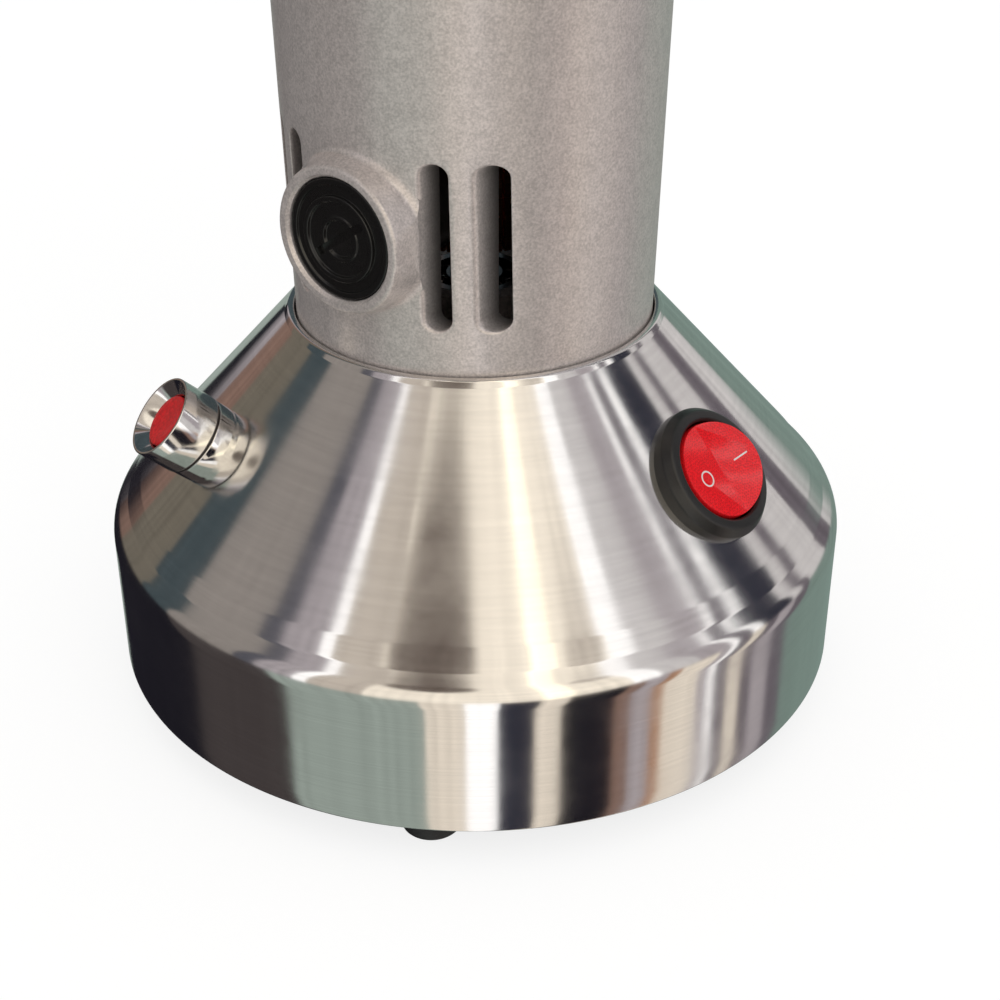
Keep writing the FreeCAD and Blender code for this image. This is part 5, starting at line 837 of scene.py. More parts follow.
class GRINDER_OT_housing(bpy.types.Operator):
    """Cast motor housing with its brush bosses, air slots and flange"""
    bl_idname = "grinder.housing"
    bl_label = "Motor housing"

    def execute(self, context):
        housing = context.scene.grinder_housing
        flange_low = HOUSING_TOP - 8 * MM
        wall_top = flange_low - 5 * MM
        upper = housing.radius + (wall_top - neck_level()) * math.tan(housing.taper)
        spigot, spigot_top = 33.9 * MM, 84.62 * MM
        stator_seat, stator_low, stator_top = 33.22 * MM, 138 * MM, 180 * MM
        fan_bore = 34.4 * MM
        body = turned("cast_housing", divided(rounded([
            (spigot, HOUSING_LOW),
            (housing.radius, HOUSING_LOW, 0.5 * MM),
            (housing.radius, neck_level()),
            (upper, wall_top, 3 * MM),
            (PLATE_RIM, flange_low, 1.2 * MM),
            (PLATE_RIM, HOUSING_TOP, 0.8 * MM),
            (fan_bore, HOUSING_TOP),
            (fan_bore, stator_top),
            (stator_seat, stator_top),
            (stator_seat, stator_low),
            (housing.bore, stator_low),
            (housing.bore, spigot_top),
            (spigot, spigot_top),
        ]), 4 * MM), steps=240)
        brushes = [math.degrees(housing.brush_angle) + half for half in (0, 180)]
        slots = []
        for turn in brushes:
            for offset in SLOT_OFFSETS:
                across = housing.radius * math.sin(math.radians(offset))
                slots.append(slot_tools(housing, turn, across, housing.slot_width, housing.slot_length,
                                        housing.slot_level))
        for i in range(housing.exhaust_count):
            slots.append(slot_tools(housing, WHOLE_TURN / housing.exhaust_count * i, 0,
                                    EXHAUST_WIDTH, EXHAUST_LENGTH, EXHAUST_LEVEL))
        carved(body, [flare for flare, straight in slots])
        carved(body, [brush_boss(housing, turn) for turn in brushes], "UNION")
        tools = [straight for flare, straight in slots]
        tools += [self.cap_bore(housing, turn) for turn in brushes]
        tools += [rod("head_tap", 2.52 * MM, wall_top, HOUSING_TOP + MM, place, sides=32)
                  for place in round_places(HEAD_SCREWS, HEAD_SCREW_CIRCLE, 0.5)]
        carved(body, tools)
        finished(body, "stand", "cast_aluminium", ["motor_housing"], smooth=28)
        return {"FINISHED"}

    def cap_bore(self, housing, turn):
        """Cutter of a boss's bore, with the seat of its cap and a flared mouth."""
        reach = housing.boss_reach
        holder_bore, start = 9.95 * MM, 20 * MM
        seat_reach = reach - 5.9 * MM
        seat = housing.cap_radius + 0.15 * MM
        bore = turned("cap_bore", rounded([
            (0, start),
            (holder_bore, start),
            (holder_bore, seat_reach),
            (seat, seat_reach),
            (seat, reach - 0.7 * MM, 0.4 * MM),
            (housing.cap_radius + 0.75 * MM, reach, 0.2 * MM),
            (housing.cap_radius + 0.9 * MM, reach + 2 * MM),
            (0, reach + 2 * MM),
        ]), steps=96)
        return placed(bore, facing(turn, 0, housing.brush_level))


class GRINDER_OT_brush_caps(bpy.types.Operator):
    """Black screw caps of the two carbon brushes"""
    bl_idname = "grinder.brush_caps"
    bl_label = "Brush caps"

    def execute(self, context):
        housing = context.scene.grinder_housing
        radius = housing.cap_radius
        face = 5 * MM
        cap = turned("brush_cap_1", rounded([
            (0, 0),
            (radius, 0, 0.3 * MM),
            (radius, face + 0.1 * MM, 0.45 * MM),
            (0.885 * radius, face + 0.1 * MM, 0.2 * MM),
            (0.865 * radius, face - 0.3 * MM, 0.1 * MM),
            (8.6 * MM, face - 0.25 * MM, 0.1 * MM),
            (8.5 * MM, face + 0.5 * MM, 0.25 * MM),
            (7.5 * MM, face + 0.5 * MM, 0.25 * MM),
            (7.3 * MM, face - 0.1 * MM, 0.2 * MM),
            (4.6 * MM, face - 0.15 * MM, 0.1 * MM),
            (4.4 * MM, face + 0.1 * MM, 0.15 * MM),
            (3.8 * MM, face + 0.1 * MM, 0.15 * MM),
            (3.5 * MM, face - 0.45 * MM, 0.2 * MM),
            (0, face - 0.5 * MM),
        ], steps=4), steps=128)
        half_long, half_wide, slot_low = 6.6 * MM, 0.8 * MM, face - 1.2 * MM
        slot = brick("cap_slot", (-half_long, -half_wide, slot_low), (half_long, half_wide, face + MM))
        softened(carved(cap, [slot]), 0.12 * MM, sharp=60)
        sunk = 0.9 * MM
        slot_turn = Matrix.Rotation(math.radians(35), 4, "Z")
        front, rear = (facing(math.degrees(housing.brush_angle) + half, housing.boss_reach - sunk - face,
                              housing.brush_level) @ slot_turn for half in (0, 180))
        twin = copied(cap, rear, "brush_cap_2")
        for piece in (placed(cap, front), twin):
            finished(piece, "stand", "black_plastic", ["brush_caps"], material="cap_plastic")
        return {"FINISHED"}


class GRINDER_OT_switch(bpy.types.Operator):
    """Round rocker switch: its bezel, the red rocker and the rocker's two marks"""
    bl_idname = "grinder.switch"
    bl_label = "Switch"

    def execute(self, context):
        base = context.scene.grinder_base
        controls = context.scene.grinder_controls
        place = on_cone(base, controls, 1)
        self.bezel(controls, place)
        pivot = place @ Matrix.Translation((0, 0, 1.2 * MM))
        self.rocker(controls, pivot)
        self.marks(controls, pivot)
        return {"FINISHED"}

    def bezel(self, controls, place):
        """Bezel with the barrel behind it."""
        radius = controls.bezel_radius
        top = controls.bezel_height
        bore = controls.rocker_radius + 0.3 * MM
        barrel, barrel_low, well_low, skirt_low = 12.4 * MM, -20.2 * MM, -9.5 * MM, -1.5 * MM
        bezel = turned("switch_bezel", rounded([
            (0, barrel_low),
            (barrel, barrel_low, 0.5 * MM),
            (barrel, skirt_low),
            (radius, skirt_low),
            (radius, 1.5 * MM, 0.9 * MM),
            (radius - 1.3 * MM, top - 0.2 * MM, 1.2 * MM),
            (bore + 0.5 * MM, top, 0.3 * MM),
            (bore, top - 0.5 * MM, 0.2 * MM),
            (bore, well_low),
            (0, well_low),
        ]), steps=160)
        finished(placed(bezel, place), "stand", "black_plastic", ["switch_body"])

    def rocker(self, controls, pivot):
        """Ball round the pivot, cut by the two flat halves that are pressed."""
        reach = controls.rocker_radius
        flat = controls.rocker_flat
        low, far = -6 * MM, 2 * reach
        steps = 48
        half_circle = [Vector((reach * math.sin(math.pi * i / steps) if 0 < i < steps else 0,
                               -reach * math.cos(math.pi * i / steps))) for i in range(steps + 1)]
        ball = turned("red_rocker", half_circle, steps=128)
        side = [(-far, flat), (0, flat), (far, flat + far * math.tan(controls.rocker_angle)), (far, low),
                (-far, low)]
        wedge = lofted("wedge", [[(across, depth, up) for across, up in side] for depth in (-far, far)])
        rocker = softened(carved(ball, [wedge], "INTERSECT"), 0.35 * MM, sharp=38, segments=3)
        finished(placed(rocker, pivot), "rocker", "rocker_red", ["switch_rocker"])

    def marks(self, controls, pivot):
        """Ring on the half that is pressed for off, bar on the half for on."""
        reach = controls.rocker_radius
        flat = Matrix.Translation((0, 0, controls.rocker_flat))
        low, top, edge = -0.1 * MM, 0.05 * MM, 0.03 * MM
        inner, outer = 1.35 * MM, 1.7 * MM
        ring = turned("rocker_mark_off", rounded([
            (inner, low), (outer, low), (outer, top, edge), (inner, top, edge)], steps=2), steps=48)
        half_long, half_wide = 1.8 * MM, 0.17 * MM
        bar = softened(brick("rocker_mark_on", (-half_long, -half_wide, low), (half_long, half_wide, top)),
                       0.04 * MM)
        rise = Matrix.Rotation(-controls.rocker_angle, 4, "Y")
        for mark, offset in ((ring, Matrix.Translation((-0.5 * reach, 0, 0))),
                             (bar, rise @ Matrix.Translation((0.52 * reach, 0, 0)))):
            finished(placed(mark, pivot @ flat @ offset), "rocker", None, material="mark_white")


class GRINDER_OT_protector(bpy.types.Operator):
    """Overload protector: base ring, funnel cap and the red reset button"""
    bl_idname = "grinder.protector"
    bl_label = "Overload protector"

    def execute(self, context):
        base = context.scene.grinder_base
        controls = context.scene.grinder_controls
        place = on_cone(base, controls, -1)
        radius = controls.cap_radius
        rim = controls.cap_height
        bore = controls.button_radius + 0.3 * MM
        thread = 8.02 * MM
        ring_low, ring_top = -0.5 * MM, 4.1 * MM
        ring = turned("protector_ring", rounded([
            (thread, ring_low),
            (8.4 * MM, ring_low),
            (8.5 * MM, 0.5 * MM, 0.2 * MM),
            (8.5 * MM, ring_top, 0.3 * MM),
            (thread, ring_top),
        ], steps=4), steps=128)
        finished(placed(ring, place), "stand", "chrome", ["protector_nut"])
        cap_low, thread_top = 4.7 * MM, 7.7 * MM
        cap = turned("protector_cap_ring", rounded([
            (thread, cap_low),
            (radius, cap_low, 0.3 * MM),
            (radius, rim, 0.22 * MM),
            (radius - 0.5 * MM, rim, 0.2 * MM),
            (bore + 0.2 * MM, rim - 2.3 * MM, 0.5 * MM),
            (bore, rim - 2.6 * MM, 0.2 * MM),
            (bore, thread_top),
            (thread, thread_top),
        ], steps=4), steps=128)
        finished(placed(cap, place), "stand", "chrome", ["protector_cap"])
        face = rim - 1.7 * MM
        stem, stem_low = 1.5 * MM, face - 8.5 * MM
        back = face - 6 * MM
        spring_inner, spring_outer, spring_top = 2.9 * MM, 4.3 * MM, face - 4.2 * MM
        button = turned("reset_button_red", rounded([
            (0, stem_low),
            (stem, stem_low, 0.3 * MM),
            (stem, back),
            (spring_inner, back),
            (spring_inner, spring_top),
            (spring_outer, spring_top),
            (spring_outer, back),
            (controls.button_radius, back, 0.3 * MM),
            (controls.button_radius, face, 0.5 * MM),
            (4.2 * MM, face + 0.02 * MM, 0.4 * MM),
            (2.4 * MM, face - 0.25 * MM, 0.4 * MM),
            (0, face - 0.35 * MM),
        ], steps=4), steps=96)
        finished(placed(button, place), "reset", "button_red", ["reset_button"])
        return {"FINISHED"}


class GRINDER_OT_gland(bpy.types.Operator):
    """Cord gland at the back of the base band"""
    bl_idname = "grinder.gland"
    bl_label = "Cord gland"

    def execute(self, context):
        base = context.scene.grinder_base
        bore, thread = 3.9 * MM, 7.5 * MM
        back, seat, front = -13 * MM, -0.6 * MM, 12 * MM
        corners = [
            (bore, back),
            (thread, back, 0.4 * MM),
            (thread, seat),
            (10.3 * MM, seat),
            (10.5 * MM, 0.8 * MM, 0.3 * MM),
            (10.5 * MM, 5.4 * MM, 0.8 * MM),
        ]
        groove = 0.9 * MM
        for i in range(3):
            start = 6.0 * MM + 1.9 * MM * i
            across = 9.6 * MM - 1.1 * MM * i
            corners += [(across, start, 0.15 * MM), (across - groove, start + 0.2 * MM, 0.1 * MM),
                        (across - groove, start + 0.8 * MM, 0.1 * MM),
                        (across - 0.2 * MM, start + MM, 0.15 * MM)]
        corners += [(6.5 * MM, front, 0.5 * MM), (bore, front, 0.6 * MM)]
        gland = turned("cord_gland_head", rounded(corners, steps=4), steps=96)
        finished(placed(gland, facing(180, BAND_RADIUS, base.gland_level)), "stand", "black_plastic",
                 ["cord_gland"])
        return {"FINISHED"}


class GRINDER_OT_chamber(bpy.types.Operator):
    """Bearing plate, grinding chamber and the screws that hold both on the housing"""
    bl_idname = "grinder.chamber"
    bl_label = "Grinding chamber"

    def execute(self, context):
        self.bearing_plate()
        self.chamber(context.scene.grinder_head)
        screw = socket_screw("head_screw_0", 2.5 * MM, 3.8 * MM, 5 * MM, 18 * MM)
        places = round_places(HEAD_SCREWS, HEAD_SCREW_CIRCLE, 0.5, FLANGE_TOP)
        for piece in spread(screw, "head_screw", places):
            finished(piece, "stand", "screw_steel", ["head_screws"])
        return {"FINISHED"}

    def bearing_plate(self):
        """Plate between housing and chamber, with the seat of the upper bearing."""
        shaft_bore, bearing_bore, hub = 8 * MM, 16.02 * MM, 19.5 * MM
        hub_low, bearing_low = 209 * MM, 212 * MM
        plate = turned("bearing_plate_disc", rounded([
            (shaft_bore, hub_low),
            (hub, hub_low),
            (hub, HOUSING_TOP),
            (PLATE_RIM, HOUSING_TOP, 0.5 * MM),
            (PLATE_RIM, HEAD, 0.5 * MM),
            (bearing_bore, HEAD),
            (bearing_bore, bearing_low),
            (shaft_bore, bearing_low),
        ], steps=3), steps=192)
        finished(plate, "stand", "frame_casting", ["upper_bearing_plate"])

    def chamber(self, head):
        """Cup with a flange, a flat face for the spout, the outlet and its holes."""
        bore = head.chamber_radius - head.chamber_wall
        seal_bore, collar, collar_top = 14.02 * MM, 18 * MM, HEAD + 7 * MM
        chamber = turned("mill_chamber", divided(rounded([
            (seal_bore, HEAD),
            (PLATE_RIM, HEAD, 0.5 * MM),
            (PLATE_RIM, FLANGE_TOP, MM),
            (head.chamber_radius, FLANGE_TOP, 1.6 * MM),
            (head.chamber_radius, CHAMBER_TOP, 0.4 * MM),
            (bore, CHAMBER_TOP, 0.4 * MM),
            (bore, CHAMBER_FLOOR, MM),
            (collar, CHAMBER_FLOOR),
            (collar, collar_top, 0.4 * MM),
            (seal_bore, collar_top),
        ]), 5 * MM), steps=192)
        face = 52 * MM
        pad = brick("pad", (-22 * MM, -face, HEAD), (22 * MM, -45 * MM, HEAD + 24 * MM))
        carved(chamber, [softened(pad, 1.2 * MM, segments=4)], "UNION")
        carved(chamber, [brick("notch", (-23 * MM, -72 * MM, HEAD - MM), (23 * MM, -face, HEAD + 30 * MM))])
        tools = [brick("outlet", (-11 * MM, -62 * MM, CHAMBER_FLOOR), (11 * MM, -30 * MM, HEAD + 19 * MM))]
        tools += [rod("screw_hole", 2.7 * MM, HEAD - MM, FLANGE_TOP + MM, place, sides=32)
                  for place in round_places(HEAD_SCREWS, HEAD_SCREW_CIRCLE, 0.5)]
        tools += [rod("pin_hole", 2.02 * MM, 40 * MM, 60 * MM, facing(side, 0, CHAMBER_TOP - 3.2 * MM), 32)
                  for side in (90, 270)]
        carved(chamber, tools)
        finished(chamber, "stand", "head_steel", ["grinding_chamber"])


class GRINDER_OT_spout(bpy.types.Operator):
    """Discharge spout with its flange and screws"""
    bl_idname = "grinder.spout"
    bl_label = "Discharge spout"

    def execute(self, context):
        wall = 3 * MM
        width = 28 * MM
        bend = 70 * MM
        back = SPOUT_FRONT - 16 * MM
        low = HEAD + MM
        outer = rounded([
            (-SPOUT_BACK, SPOUT_TOP),
            (-bend, SPOUT_TOP, 6 * MM),
            (-SPOUT_FRONT, SPOUT_TOP - (SPOUT_FRONT - bend), 6 * MM),
            (-SPOUT_FRONT, SPOUT_MOUTH),
            (-back, SPOUT_MOUTH),
            (-back, SPOUT_MOUTH + 8 * MM, 3 * MM),
            (-(PLATE_RIM + MM), low, 2 * MM),
            (-SPOUT_BACK, low),
        ])
        inner_start, shift = -40 * MM, 1.5 * MM
        inner = rounded([
            (inner_start, SPOUT_TOP - wall),
            (-(bend - shift), SPOUT_TOP - wall, 5 * MM),
            (-(SPOUT_FRONT - wall), SPOUT_TOP - (SPOUT_FRONT - bend) - shift, 5 * MM),
            (-(SPOUT_FRONT - wall), SPOUT_MOUTH - wall),
            (-(back + wall), SPOUT_MOUTH - wall),
            (-(back + wall), SPOUT_MOUTH + 9.5 * MM, 3 * MM),
            (-(PLATE_RIM + 2.5 * MM), CHAMBER_FLOOR, 2 * MM),
            (inner_start, CHAMBER_FLOOR),
        ])
        chute = softened(sawn("mill_spout", outer, width), 1.6 * MM, sharp=60, segments=4)
        half, face = 22 * MM, SPOUT_BACK + 3.5 * MM
        flange = brick("flange", (-half, -face, low), (half, -SPOUT_BACK, SPOUT_TOP))
        carved(chute, [softened(flange, 1.2 * MM, segments=4)], "UNION")
        upright = Matrix.Rotation(math.radians(90), 4, "X")
        places = [Matrix.Translation((side * 17.6 * MM, 0, HEAD + 12 * MM)) @ upright for side in (-1, 1)]
        carved(chute, [sawn("passage", inner, width - 2 * wall)]
               + [rod("screw_hole", 1.7 * MM, 40 * MM, 80 * MM, place, sides=32) for place in places])
        finished(chute, "stand", "head_steel", ["discharge_spout"])
        screw = socket_screw("spout_screw_0", 1.5 * MM, 2.6 * MM, 2.4 * MM, 8.5 * MM)
        out = Matrix.Translation((0, 0, face))
        for piece in spread(screw, "spout_screw", [place @ out for place in places]):
            finished(piece, "stand", "screw_steel", ["spout_screws"])
        return {"FINISHED"}


class GRINDER_OT_ring(bpy.types.Operator):
    """Adjusting ring with finger grooves, its numbered scale, handle rods and grips"""
    bl_idname = "grinder.ring"
    bl_label = "Adjusting ring"

    def execute(self, context):
        head = context.scene.grinder_head
        self.ring(head)
        self.scale(head)
        self.handles(head)
        return {"FINISHED"}

    def ring(self, head):
        """Ring with its thread, its finger grooves and the holes for the rods."""
        thread, mouth, web_low = head.chamber_radius + 0.05 * MM, 36.3 * MM, RING_TOP - 6 * MM
        ring = turned("scalloped_ring", divided(rounded([
            (thread, RING_LOW),
            (RING_RADIUS, RING_LOW, 0.8 * MM),
            (RING_RADIUS, RING_TOP, 1.4 * MM),
            (mouth, RING_TOP, 0.4 * MM),
            (mouth, web_low),
            (thread, web_low),
        ]), 5 * MM), steps=288)
        groove = 3 * MM
        places = round_places(head.groove_count, RING_RADIUS + groove - head.groove_depth, 0.5)
        tools = [rod("groove", groove, RING_LOW - MM, RING_TOP + MM, place, sides=48) for place in places]
        tools += [rod("rod_hole", head.rod_radius + 0.02 * MM, -ROD_SEAT, ROD_SEAT,
                      facing(side, RING_RADIUS, head.rod_level)) for side in (-90, 90)]
        softened(carved(ring, tools), 0.25 * MM, sharp=32)
        finished(ring, "ring", "head_steel", ["adjusting_ring"])

    def scale(self, head):
        """Ticks and numbers on the top of the ring."""
        marks = []
        half, tick_start, tick_end = 0.25 * MM, 51.2 * MM, 54.6 * MM
        for i in range(head.scale_last + 1):
            turn = around(-math.degrees(head.scale_step) * i)
            tick = brick("tick", (-half, -tick_end, RING_TOP - 0.1 * MM),
                         (half, -tick_start, RING_TOP + 0.06 * MM))
            marks.append(placed(tick, turn))
            bpy.ops.object.text_add(location=(0, -49.8 * MM, RING_TOP - 0.02 * MM))
            number = bpy.context.object
            number.data.body = str(i)
            number.data.size = 5.2 * MM
            number.data.align_x = "CENTER"
            number.data.extrude = 0.06 * MM
            bpy.ops.object.convert(target="MESH")
            marks.append(placed(bpy.context.object, turn @ bpy.context.object.matrix_basis))
        scale = joined(marks)
        scale.name = "ring_scale"
        finished(scale, "ring", None, material="mark_dark")

    def handles(self, head):
        """Two rods with a grip on each, one at either side."""
        radius, bar_long = head.rod_radius, 18 * MM
        bar = turned("handle_bar_1", rounded([
            (0, 0), (radius, 0, 0.4 * MM), (radius, bar_long, 0.6 * MM), (0, bar_long)], steps=4), steps=64)
        long = GRIP_END - RING_RADIUS - 4 * MM
        belly, bar_end = 8 * MM, 9 * MM
        grip = turned("grip_1", rounded([
            (radius, 0),
            (6 * MM, 0, 0.8 * MM),
            (5.4 * MM, 3 * MM, 3 * MM),
            (belly, 0.68 * long, 4 * MM),
            (belly, 0.86 * long, 3 * MM),
            (5 * MM, long, 2.2 * MM),
            (0, long),
            (0, bar_end),
            (radius, bar_end),
        ], steps=8), steps=96)
        for piece, name, start, slot, node in (
                (bar, "handle_bar_2", RING_RADIUS - ROD_SEAT, "chrome", "handle_rods"),
                (grip, "grip_2", RING_RADIUS + 4 * MM, "black_plastic", "handle_grips")):
            twin = copied(piece, facing(-90, start, head.rod_level), name)
            for one in (placed(piece, facing(90, start, head.rod_level)), twin):
                finished(one, "ring", slot, [node])


class GRINDER_OT_hopper(bpy.types.Operator):
    """Hopper with its rolled rim and foot flange, and its screws"""
    bl_idname = "grinder.hopper"
    bl_label = "Hopper"

    def execute(self, context):
        hopper = context.scene.grinder_hopper
        throat = hopper.throat_radius
        sheet = hopper.sheet
        cone_low = HOPPER_LOW + 12 * MM
        cone_top = HOPPER_TOP - 12 * MM
        wall = HOPPER_RADIUS - 3 * MM
        flange, flange_top = 33 * MM, HOPPER_LOW + 2.5 * MM
        shell = turned("spun_hopper", divided(rounded([
            (throat, HOPPER_LOW),
            (flange, HOPPER_LOW, 0.3 * MM),
            (flange, flange_top, 0.6 * MM),
            (throat + sheet, flange_top, 1.5 * MM),
            (throat + sheet, cone_low, 4 * MM),
            (wall, cone_top, 6 * MM),
            (wall, HOPPER_TOP - hopper.bead, 0.5 * MM),
            (HOPPER_RADIUS, HOPPER_TOP - hopper.bead, 1.9 * MM),
            (HOPPER_RADIUS, HOPPER_TOP, 1.9 * MM),
            (wall - sheet, HOPPER_TOP, 1.4 * MM),
            (wall - sheet, cone_top + sheet / 2, 5 * MM),
            (throat, cone_low + sheet / 2, 4 * MM),
        ], steps=8), 5 * MM), steps=240)
        screws, circle_radius = 3, 28 * MM
        places = round_places(screws, circle_radius, level=HOPPER_LOW)
        carved(shell, [rod("hole", 2.2 * MM, -MM, 4 * MM, place, sides=32) for place in places])
        finished(shell, "holder", "hopper_steel", ["hopper"])
        screw = socket_screw("hopper_screw_0", 2 * MM, 3.5 * MM, 2.4 * MM, 8.5 * MM)
        for piece in spread(screw, "hopper_screw", round_places(screws, circle_radius, level=flange_top)):
            finished(piece, "holder", "screw_steel", ["hopper_screws"])
        return {"FINISHED"}


class GRINDER_OT_lid(bpy.types.Operator):
    """Hopper lid with its skirt, crown and turned knob"""
    bl_idname = "grinder.lid"
    bl_label = "Lid"

    def execute(self, context):
        hopper = context.scene.grinder_hopper
        self.lid(hopper)
        self.knob(hopper)
        return {"FINISHED"}

    def lid(self, hopper):
        """Spun disc with a step round its crown and a skirt inside the hopper."""
        skirt = HOPPER_RADIUS - 3 * MM - hopper.sheet - 0.5 * MM
        wall = 2 * MM
        hole, crown = 2.2 * MM, 16 * MM
        rest, skirt_low = HOPPER_TOP + 0.02 * MM, HOPPER_TOP - 7 * MM
        lid = turned("spun_lid", divided(rounded([
            (hole, LID_TOP - wall),
            (crown, LID_TOP - wall, 6 * MM),
            (skirt - wall, HOPPER_TOP, 2 * MM),
            (skirt - wall, skirt_low, 0.4 * MM),
            (skirt, skirt_low, 0.4 * MM),
            (skirt, rest),
            (HOPPER_RADIUS, rest, 0.8 * MM),
            (HOPPER_RADIUS, HOPPER_TOP + wall, MM),
            (skirt - MM, HOPPER_TOP + 2.25 * MM, 1.5 * MM),
            (skirt - 2.5 * MM, HOPPER_TOP + 1.9 * MM, 1.5 * MM),
            (skirt - 5 * MM, HOPPER_TOP + 2.7 * MM, 2 * MM),
            (crown, LID_TOP, 8 * MM),
            (hole, LID_TOP),
        ], steps=6), 6 * MM), steps=240)
        finished(lid, "lid", "hopper_steel", ["hopper_lid"])

    def knob(self, hopper):
        """Turned knob with a waist, a line round its rim and flutes."""
        radius = hopper.knob_radius
        top = LID_TOP + hopper.knob_height
        waist = 7 * MM
        line = radius - 0.5 * MM
        knob = turned("turned_knob", rounded([
            (0, LID_TOP),
            (10 * MM, LID_TOP, 0.3 * MM),
            (9.6 * MM, LID_TOP + 1.4 * MM, 0.6 * MM),
            (waist, LID_TOP + 2.4 * MM, 1.5 * MM),
            (waist, LID_TOP + 8.4 * MM, 3 * MM),
            (radius, LID_TOP + 13 * MM, 2.5 * MM),
            (radius, LID_TOP + 14.6 * MM, 0.3 * MM),
            (line, LID_TOP + 15 * MM, 0.15 * MM),
            (line, LID_TOP + 15.4 * MM, 0.15 * MM),
            (radius, LID_TOP + 15.8 * MM, 0.3 * MM),
            (radius, LID_TOP + 17.6 * MM, 3 * MM),
            (9.5 * MM, top, 3 * MM),
            (5.5 * MM, top, 0.5 * MM),
            (5 * MM, top - 0.5 * MM, 0.4 * MM),
            (0, top - 0.6 * MM),
        ], steps=6), steps=128)
        flutes = [rod("flute", 4 * MM, LID_TOP + 9 * MM, top + MM, place, sides=48)
                  for place in round_places(hopper.flute_count, radius + 3.4 * MM)]
        softened(carved(knob, flutes), 0.2 * MM, sharp=30)
        finished(knob, "lid", "black_plastic", ["lid_knob"])


def reflected_room(tree, share, panels):
    """Upright panels of a room, as a colour that changes with the share of a turn from the back."""
    ramp = new_node(tree, "ValToRGB", {"Fac": share})
    ramp.color_ramp.interpolation = "CONSTANT"
    stops = ramp.color_ramp.elements
    start = -WHOLE_TURN / 2
    for i, (end, colour) in enumerate(panels):
        place = (start + WHOLE_TURN / 2) / WHOLE_TURN
        stop = stops[i] if i < 2 else stops.new(place)
        stop.position = place
        stop.color = (*colour, 1)
        start = end
    return ramp.outputs["Color"]


def reflected_card(tree, room, share, lift, middle, size, colour):
    """Soft oval card in the room; its middle and size are degrees round the machine and above level."""
    across = math_node(tree, "DIVIDE", math_node(tree, "SUBTRACT", share, middle[0] / WHOLE_TURN + 0.5),
                       size[0] / WHOLE_TURN)
    up = math_node(tree, "DIVIDE", math_node(tree, "SUBTRACT", lift, middle[1]), size[1])
    squares = [math_node(tree, "POWER", math_node(tree, "ABSOLUTE", part), 2.0) for part in (across, up)]
    outside = contrast(tree, math_node(tree, "ADD", *squares), 0.75, 1.15)
    return mixed(tree, outside, (*colour, 1), room)


